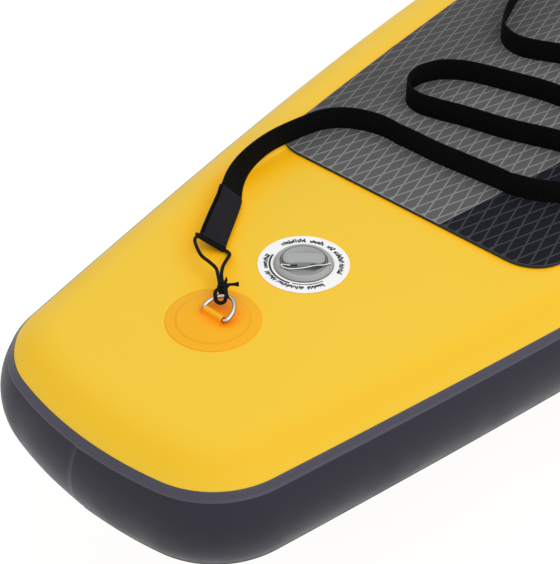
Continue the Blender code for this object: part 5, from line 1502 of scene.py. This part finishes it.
TURN = [(0.6, 9.0, 0.8), (4.4, 6.2, 3.0), (6.2, 2.2, 3.9), (6.0, -2.6, 3.6), (5.0, -6.6, 1.6),
        (2.6, -8.4, 0.2), (-0.6, -8.7, -0.2), (-3.6, -7.6, 0.8), (-5.3, -4.4, 2.8), (-5.6, 0.4, 4.1),
        (-4.6, 4.6, 4.2), (-2.0, 8.2, 3.2), (0.2, 9.4, 3.0)]
STRAND = [(1.7, 11.5, 2.4), (1.7, 8.0, 2.6), (1.65, 4.6, 2.4), (1.6, 3.9, -0.6), (1.7, 5.5, -3.2)]
BUNDLE = [(3.4, 12.0, -0.4), (2.0, 12.6, 4.8), (-2.2, 12.2, 5.4), (-4.6, 11.2, 1.8), (-3.0, 10.6, -1.8),
          (0.8, 10.0, -1.6), (3.6, 9.4, 0.8), (2.4, 9.0, 4.6), (-1.8, 8.6, 5.6), (-5.4, 9.6, 3.0),
          (-5.8, 12.0, 0.6)]
STUB = [(-4.0, 11.6, 2.4), (-8.0, 12.4, 1.4), (-12.4, 13.0, 0.2), (-16.9, 13.5, -1.0)]
STUB_RADII = [0.0016, 0.0016, 0.0015, 0.0015, 0.0015, 0.0016, 0.0017, 0.0020, 0.0025, 0.0024]
SPIKE = [(-3.6, 12.0, 4.4), (-5.0, 15.2, 6.0), (-5.4, 18.6, 7.0)]
SPIKE_RADII = [0.0018, 0.0019, 0.0018, 0.0014, 0.0008, 0.0003]

knot_tubes = [tube("turn", TURN, 0.0020, 90)]
for side in (1, -1):
    knot_tubes.append(tube("strand", [(side * along, out, above) for along, out, above in STRAND]))
knot_tubes.append(tube("bundle", BUNDLE, samples=80))


def shaped_end(points, radii):
    """The cut end of a string, as rings that grow or shrink along it."""
    line = smooth_run([tuple(by_bow(*place)) for place in points], len(radii))
    rings = []
    for number, (place, radius) in enumerate(zip(line, radii)):
        way = Vector(line[min(number + 1, len(line) - 1)] - line[max(number - 1, 0)]).normalized()
        side = way.orthogonal().normalized()
        other = way.cross(side)
        rings.append([Vector(place) + (side * math.cos(turn) + other * math.sin(turn)) * radius
                      for turn in (2 * math.pi * step / 12 for step in range(12))])
    end = seal_ends(loft("end", rings))
    return close_up(end, sharp=50)


knot_tubes += [shaped_end(STUB, STUB_RADII), shaped_end(SPIKE, SPIKE_RADII)]
knot = merged("leash_knot_cord", knot_tubes, black_string)
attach(knot, "tail_ring")
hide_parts("leash_knot")
print("knot:", len(knot.data.polygons), "faces")

# %% [markdown]
# ## The ankle cuff
#
# The far end of the strap is sewn into a short rubbery block, and the block into a padded cuff: a soft band
# 50 mm wide, wound once round and closed by 60 degrees of hook-and-loop overlap. Its edges are bound with
# tape.

# %% Cuff and anchor
CUFF_R, CUFF_W, CUFF_T, CUFF_OVERLAP, CUFF_RISE = 0.046, 0.050, 0.0050, 62.0, 30.0
ANCHOR_L, ANCHOR_T = 0.030, 0.0100
strap_end = Vector(strap_line[-1][:3])
heading = (strap_end - Vector(strap_line[-5][:3])).normalized()
anchor_start = strap_end + heading * GAP
anchor_end = anchor_start + heading * ANCHOR_L
cuff_floor = PAD_TOP + GAP
anchor_start.z = anchor_end.z = cuff_floor + CUFF_W * 0.4
cuff_middle = anchor_end + heading * (CUFF_R + CUFF_T / 2 + GAP)
SOFT_EDGE = [(0.0110, 1.0), (0.0075, 0.98), (0.0060, 0.80), (0.0050, 0.86), (0.0014, 0.80), (0.0003, 0.45)]
HOOK_SECTION = [(0.019, 0.0006), (0.0196, 0.0), (0.019, -0.0006), (-0.019, -0.0006), (-0.0196, 0.0),
                (-0.019, 0.0006)]
ANCHOR_SHAPE = [(0, 0.90, 0.70), (0.0006, 0.95, 0.84), (0.002, 0.985, 0.95), (0.006, 1.0, 1.0),
                (0.012, 1.0, 0.98), (0.014, 1.0, 0.90), (0.0155, 1.0, 0.90), (0.0175, 1.0, 0.98),
                (0.026, 1.0, 1.0), (0.0285, 0.985, 0.95), (0.0294, 0.95, 0.84), (ANCHOR_L, 0.90, 0.70)]
ANCHOR_W = CUFF_W * 0.8
RIPPLE, RIPPLES = 0.012, 260                # how much the band's thickness wavers, and its radians per metre


def soft_section(x, width, thick):
    """A line round a padded band: full in the middle, thin at the bound edges."""
    half, t = width / 2, thick / 2
    upper = [(half - inward, t * fat) for inward, fat in SOFT_EDGE]
    side = upper + [(half, 0.0)] + [(y, -z) for y, z in reversed(upper)]
    return [(x, y, z) for y, z in side] + [(x, -y, z) for y, z in reversed(side)]


def cuff_section(x):
    """The cuff's own section, a little uneven along its length."""
    return soft_section(x, CUFF_W, CUFF_T * (1 + RIPPLE * math.sin(x * RIPPLES)))


def hook_section(x):
    """A thin patch of hooks."""
    return [(x, y, z) for y, z in HOOK_SECTION]


def wound(radius, start, end, rise=True, steps=160):
    """A winding line round the cuff's middle, between two angles past its inner end."""
    inner = math.atan2(-heading.y, -heading.x) + math.radians(CUFF_OVERLAP)
    line = []
    for step in range(steps + 1):
        turn = start + (end - start) * step / steps
        lifted = min(max((turn - 360) / CUFF_RISE + 1, 0.0), 1.0) if rise else 1.0
        here = radius + (CUFF_T + GAP) * lifted * lifted * (3 - 2 * lifted)
        angle = inner + math.radians(turn)
        line.append((cuff_middle.x + here * math.cos(angle), cuff_middle.y + here * math.sin(angle),
                     cuff_floor + CUFF_W / 2, 90))
    return np.array(line)


def band(name, line, section, cloth):
    """A straight padded band, laid on its line; its two end faces are inset."""
    length = run_length(line)
    piece = seal_ends(loft(name, [section(length * step / 60) for step in range(61)]))
    with editing():
        pick(piece, faces=lambda face: abs(face.normal.x) > 0.9)
        bpy.ops.mesh.inset(thickness=0.0008)
    lay(piece, line)
    close_up(piece, sharp=45)
    coat(piece, cloth)
    return piece


cuff_line = wound(CUFF_R, 0, 360 + CUFF_OVERLAP)
hook_line = wound(CUFF_R + CUFF_T / 2 + 0.0007, 360 - 6, 360 + CUFF_OVERLAP - 6, rise=False, steps=60)
cuff = band("ankle_cuff_band", cuff_line, cuff_section, neoprene)
hook = band("ankle_cuff_hook", hook_line, hook_section, black_strap)
sections = [soft_section(x, ANCHOR_W * wide, ANCHOR_T * fat) for x, wide, fat in ANCHOR_SHAPE]
anchor = seal_ends(loft("cuff_anchor_block", sections))
lay(anchor, np.array([(*anchor_start, 90), (*anchor_end, 90)]))
close_up(anchor, sharp=45)
coat(anchor, seal_rubber)
for piece in (cuff, hook, anchor):
    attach(piece, "board")
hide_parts("ankle_cuff")
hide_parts("cuff_anchor")
print("cuff band:", round(run_length(cuff_line), 3), "m long")

# %% [markdown]
# ## The carry handle
#
# Two amber patches hold down the ends of a black strap, and the strap rises between them into a padded
# grip. A boxed cross is sewn through each end.

# %% Stitches
STITCH_PITCH, STITCH_R, STITCH_ABOVE = 0.0034, 0.00035, 0.0002


def stitch_row(start, end):
    """A row of short stitches between two places on a flat cloth."""
    start, end = Vector(start), Vector(end)
    count = max(1, int((end - start).length / STITCH_PITCH))
    way = (end - start).normalized()
    bpy.ops.object.select_all(action="DESELECT")
    bpy.ops.mesh.primitive_uv_sphere_add(segments=8, ring_count=6, radius=STITCH_R)
    piece = bpy.context.object
    piece.scale = (STITCH_PITCH * 0.36 / STITCH_R, 1, 0.8)
    bpy.ops.object.transform_apply(location=False, rotation=False, scale=True)
    modify(piece, "ARRAY", count=count, use_relative_offset=False, use_constant_offset=True,
           constant_offset_displace=((end - start).length / count, 0, 0))
    piece.rotation_euler = way.to_track_quat("X", "Z").to_euler()
    piece.location = start + way * STITCH_PITCH / 2 + Vector((0, 0, STITCH_ABOVE))
    return close_up(piece, merge=1e-8)


# %% Handle
GRIP_HALF, HANDLE_RISE, HANDLE_WEB_W, HANDLE_WEB_T, GRIP_W, GRIP_H = 0.062, 0.040, 0.038, 0.0024, 0.046, 0.022
handle_base = DECK + GAP
handle_flat = handle_base + 2 * PATCH_T + GAP + HANDLE_WEB_T / 2
handle_top = handle_base + HANDLE_RISE
disc_profile = [(0.0001, 0), (HANDLE_PATCH_R, 0), (HANDLE_PATCH_R, PATCH_T),
                (HANDLE_PATCH_R - 0.0004, 1.6 * PATCH_T), (HANDLE_PATCH_R - 0.0012, 2 * PATCH_T),
                (0.0001, 2 * PATCH_T)]
for end, side in (("aft", -1), ("fore", 1)):
    y = middle + side * HANDLE_HALF
    disc = spun(f"handle_disc_{end}", disc_profile, (0, y, handle_base + rocker(y)), 96, 30)
    coat(disc, patch_cloth)
    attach(disc, "board")
    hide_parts(f"handle_patch_{end}")
rise = [(-HANDLE_HALF - HANDLE_PATCH_R * 0.7, handle_flat),
        (-HANDLE_HALF - HANDLE_PATCH_R * 0.2, handle_flat),
        (-HANDLE_HALF + HANDLE_PATCH_R * 0.35, handle_flat + 0.002),
        (-GRIP_HALF - 0.016, handle_top - 0.004), (-GRIP_HALF, handle_top)]
rise = rise + [(-along, height) for along, height in reversed(rise)]
handle_line = smooth_run([(0, middle + along, height, 0) for along, height in rise], 200)
handle_line[:, 2] = np.maximum(handle_line[:, 2], handle_flat) + [rocker(y) for y in handle_line[:, 1]]
handle_strap, handle_length = ribbed_strap("handle_strap", handle_line, HANDLE_WEB_W, HANDLE_WEB_T)
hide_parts("handle_webbing")

# %% Grip
def grip_section(along, scale):
    """A soft-cornered line round the grip."""
    outline = round_box(GRIP_W / 2, GRIP_H / 2, GRIP_H * 0.45, 8)
    return [(x * scale, middle + along, handle_top + z * scale) for x, z in outline]


half_grip = GRIP_HALF * 0.92
half_shape = [(1.0, 0.78), (0.985, 0.86), (0.96, 0.93), (0.92, 0.975), (0.88, 0.985), (0.865, 0.955),
              (0.85, 0.985), (0.70, 1.0), (0.35, 1.012)]
shape = [(-share, scale) for share, scale in half_shape] + [(0, 1.015)] + half_shape[::-1]
grip = seal_ends(loft("handle_grip_pad", [grip_section(half_grip * share, scale) for share, scale in shape]))
grip_slot = (HANDLE_WEB_W + 2 * GAP, 4 * half_grip, HANDLE_WEB_T + 2 * GAP + 0.0012)
trim(grip, "DIFFERENCE", block((0, middle, handle_top), grip_slot))
close_up(grip, sharp=45)
coat(grip, neoprene)
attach(grip, "board")
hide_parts("handle_grip")

# %% Boxed crosses
CROSS_HALF, CROSS_NEAR, CROSS_FAR = 0.014, 0.002, 0.026
rows = []
for side in (-1, 1):
    near, far = (middle + side * (HANDLE_HALF + reach) for reach in (CROSS_NEAR, CROSS_FAR))
    top = handle_flat + HANDLE_WEB_T / 2 + rocker(far)
    box = [(-CROSS_HALF, near, top), (CROSS_HALF, near, top), (CROSS_HALF, far, top), (-CROSS_HALF, far, top)]
    rows += [stitch_row(box[a], box[b]) for a, b in ((0, 1), (1, 2), (2, 3), (3, 0), (0, 2), (1, 3))]
crosses = merged("handle_stitches", rows, thread_black)
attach(crosses, "board")
print("handle strap:", round(handle_length, 3), "m")

# %% [markdown]
# ## Fin box and fin
#
# Under the tail a moulded box is glued on a cloth patch. Its slot has a track each side, where the fin's
# pin and track nut slide. The fin's blade is swept aft and thins towards its tip and its trailing edge.

# %% Fin sizes
FIN_BOX_L, FIN_BOX_W, FIN_BOX_H, FIN_BOX_ROUND = 0.262, 0.030, 0.0240, 0.004
FIN_MIDDLE = 0.400 - LENGTH / 2
PLATE_L, PLATE_W, PLATE_T = 0.330, 0.100, 0.0020
SLOT_W, SLOT_DEPTH, SLOT_L = 0.0098, 0.0200, 0.236
TRACK_W, TRACK_H, TRACK_FLOOR, NUT_L = 0.0160, 0.0052, 0.0135, 0.0100
TAB_L, TAB_H, FIN_TAB_W = 0.160, 0.0180, SLOT_W - 2 * RUN
FIN_ROOT, FIN_TIP, FIN_SWEEP, FIN_T, FIN_EDGE = 0.152, 0.052, 0.120, 0.0088, 0.0004
FIN_LEVELS = [0, 0.04, 0.1, 0.18, 0.27, 0.36, 0.45, 0.54, 0.63, 0.71, 0.78, 0.84, 0.89, 0.93, 0.96,
              0.985, 1.0]
FIN_THINS, TIP_FROM, TIP_CUT = 0.72, 0.86, 0.45
PIN_R, SCREW_R, NOTCH_L, SCREW_PLATE_T = 0.0021, 0.0020, 0.0130, 0.0037
BOTTOM = DECK - THICK
PLATE_TOP = BOTTOM - GAP
BOX_TOP = PLATE_TOP - PLATE_T - GAP
MOUTH = BOX_TOP - FIN_BOX_H


def fin_block(width, length, low, high):
    """A box about the fin's middle station, between two heights."""
    return block((0, FIN_MIDDLE, (low + high) / 2), (width, length, high - low))


def fin_outline(width, length, corner):
    """A round-ended outline about the fin's middle station; corner is a share of the width."""
    return round_box(width / 2, length / 2, width * corner, 8, FIN_MIDDLE)


# %% Patch and box
plate = upright("fin_patch", fin_outline(PLATE_W, PLATE_L, 0.42), PLATE_TOP - PLATE_T, PLATE_TOP)
with editing():
    pick(plate, edges=lambda edge: max(vert.co.z for vert in edge.verts) < PLATE_TOP - PLATE_T / 2)
    bpy.ops.mesh.bevel(offset=PLATE_T * 0.4, segments=3)
close_up(plate, sharp=35)
coat(plate, rail_cloth)
fin_box = fin_block(FIN_BOX_W, FIN_BOX_L, MOUTH, BOX_TOP)
bpy.ops.object.transform_apply(location=True, rotation=False, scale=True)
with editing():
    bpy.ops.mesh.select_all(action="SELECT")
    bpy.ops.mesh.bevel(offset=FIN_BOX_ROUND, segments=4)
slot_outline = fin_outline(SLOT_W, SLOT_L, 0.45)
track_low, track_top = MOUTH + TRACK_FLOOR, MOUTH + TRACK_FLOOR + TRACK_H
trim(fin_box, "DIFFERENCE", upright("slot", slot_outline, MOUTH - SLOT_W, MOUTH + SLOT_DEPTH))
trim(fin_box, "DIFFERENCE", fin_block(TRACK_W, SLOT_L - 2 * SLOT_W, track_low, track_top))
trim(fin_box, "DIFFERENCE", fin_block(TRACK_W, 2 * NUT_L, MOUTH - SLOT_W, track_top))
close_up(fin_box, sharp=30)
coat(fin_box, box_plastic)
for piece, node in ((plate, "fin_box_patch"), (fin_box, "fin_box")):
    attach(piece, "board")
    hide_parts(node)

# %% Fin
tab_front = FIN_MIDDLE + TAB_L / 2
tab_rear, notch_rear = tab_front - TAB_L, tab_front - NOTCH_L
screw_y = tab_front - NOTCH_L / 2
plate_low = track_low - SCREW_PLATE_T
tab_low, tab_top = MOUTH - RUN - PIN_R, MOUTH + TAB_H
side_view = [(tab_rear, tab_low), (notch_rear, tab_low), (notch_rear, plate_low), (tab_front, plate_low),
             (tab_front, track_low), (notch_rear, track_low), (notch_rear, tab_top), (tab_rear, tab_top)]
fin = drawn("fin_blade", [(-FIN_TAB_W / 2, y, z) for y, z in side_view], filled=True)
with editing():
    thicken((FIN_TAB_W, 0, 0))


def fin_ring(share):
    """The blade's lens-shaped line at a share of its depth."""
    tip = 1 - TIP_CUT * max(share - TIP_FROM, 0) / (1 - TIP_FROM)
    chord = (FIN_ROOT + (FIN_TIP - FIN_ROOT) * share ** 1.6) * tip
    lead = notch_rear - RUN - FIN_SWEEP * share ** 1.7
    z = (MOUTH - RUN) * (1 - share)
    side = []
    for step in range(1, 18):
        place = (1 - math.cos(math.pi * step / 18)) / 2
        fat = FIN_EDGE + FIN_T / 2 * (1 - FIN_THINS * share) * math.sin(math.pi * place) ** 0.7
        side.append((fat, lead - chord * place, z))
    return [(0.0, lead, z), *side, (0.0, lead - chord, z), *((-x, y, z) for x, y, z in reversed(side))]


trim(fin, "UNION", seal_ends(loft("blade", [fin_ring(share) for share in FIN_LEVELS])))
pin_at = (0, tab_rear + 3 * PIN_R, track_low + TRACK_H / 2)
screw_at = (0, screw_y, (plate_low + track_low) / 2)
trim(fin, "DIFFERENCE", drill(PIN_R + GAP, 2 * SLOT_W, pin_at, 24, (0, math.pi / 2, 0)))
trim(fin, "DIFFERENCE", drill(SCREW_R + GAP, SCREW_PLATE_T + 2 * PIN_R, screw_at, 24))
close_up(fin, sharp=35)
coat(fin, fin_plastic)
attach(fin, "fin")
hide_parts("centre_fin")
print("fin:", len(fin.data.polygons), "faces, box:", len(fin_box.data.polygons), "faces")

# %% [markdown]
# ## The pieces kept from the model
#
# The wall, the core and the small parts inside the valve and the fin box keep their own shapes. They get
# the same kind of finish as the pieces built here.

# %% Finishes for the kept pieces
KEPT = {"side_wall": wall_cloth, "drop_stitch_core": inner_cloth, "valve_gasket": seal_rubber,
        "valve_nut": valve_plastic, "valve_poppet": poppet_plastic,
        "valve_cap_seal": seal_rubber, "fin_pin": bright_steel, "fin_track_nut": bright_steel,
        "fin_screw": bright_steel}
for name, made in KEPT.items():
    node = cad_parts[name]
    node.data.materials.clear()
    coat(node, made)
print("kept:", len(KEPT), "pieces")

# %% [markdown]
# ## Light, floor and background
#
# The board was pictured in a white studio: a broad soft light high over the starboard side, and white all
# round. The floor and the sky look white to the camera and in the steel, and still light the board at a
# plain level.

# %% Floor, sky and lamp
FLOOR_UNDER = 0.0008                        # the floor lies this far under the fin's tip
LAMP_AT, LAMP_AIM, LAMP_SIZE, LAMP_POWER = (1.5, -1.0, 3.3), (0.0, -1.0, 0.35), (3.2, 3.6), 47
SKY, SKY_SEEN = 0.84, 0.16


def seen_directly(tree):
    """One where the camera, the steel or a clear piece looks, and nought where light only bounces."""
    path = add(tree, "LightPath").outputs
    seen = maths(tree, "MAXIMUM", path["Is Camera Ray"], path["Is Transmission Ray"])
    return maths(tree, "MAXIMUM", seen, path["Is Glossy Ray"])


def studio():
    """A pale floor that keeps the board's shadow, an even sky, and one broad lamp to starboard."""
    bpy.ops.object.select_all(action="DESELECT")
    bpy.ops.mesh.primitive_plane_add(size=30, location=(0, 0, -FLOOR_UNDER))
    floor = bpy.context.object
    floor.name = "floor"
    floor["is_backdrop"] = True
    made, tree, shader, _ = finish("pale_floor", 0.9, 0.0)
    feed(tree, shader, {"Base Color": (0.80, 0.80, 0.80, 1)})
    seen = seen_directly(tree)
    soft = add(tree, "BsdfDiffuse", {"Color": (0.13, 0.13, 0.13, 1)})
    glow = add(tree, "Emission", {"Color": (1, 1, 1, 1), "Strength": 0.91})
    both = add(tree, "AddShader", {0: soft.outputs[0], 1: glow.outputs[0]})
    mixed = add(tree, "MixShader", {0: seen, 1: shader.outputs[0], 2: both.outputs[0]})
    feed(tree, tree.nodes["Material Output"], {"Surface": mixed.outputs[0]})
    coat(floor, made)

    world = bpy.data.worlds.new("studio_sky")
    bpy.context.scene.world = world
    world.use_nodes = True
    tree = world.node_tree
    strength = maths(tree, "ADD", maths(tree, "MULTIPLY", seen_directly(tree), SKY_SEEN), SKY)
    feed(tree, tree.nodes["Background"], {"Color": (1, 1, 1, 1), "Strength": strength})

    bpy.ops.object.light_add(type="AREA", location=LAMP_AT)
    lamp = bpy.context.object
    lamp.data.shape = "RECTANGLE"
    lamp.data.size, lamp.data.size_y = LAMP_SIZE
    lamp.data.energy = LAMP_POWER
    aim = Vector(LAMP_AIM) - lamp.location
    lamp.rotation_euler = aim.to_track_quat("-Z", "Y").to_euler()


studio()
bpy.context.scene.view_settings.view_transform = "Standard"

# %% Print the visual box
low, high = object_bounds()
print("visual box:", [round(value, 4) for value in (*low, *high)])
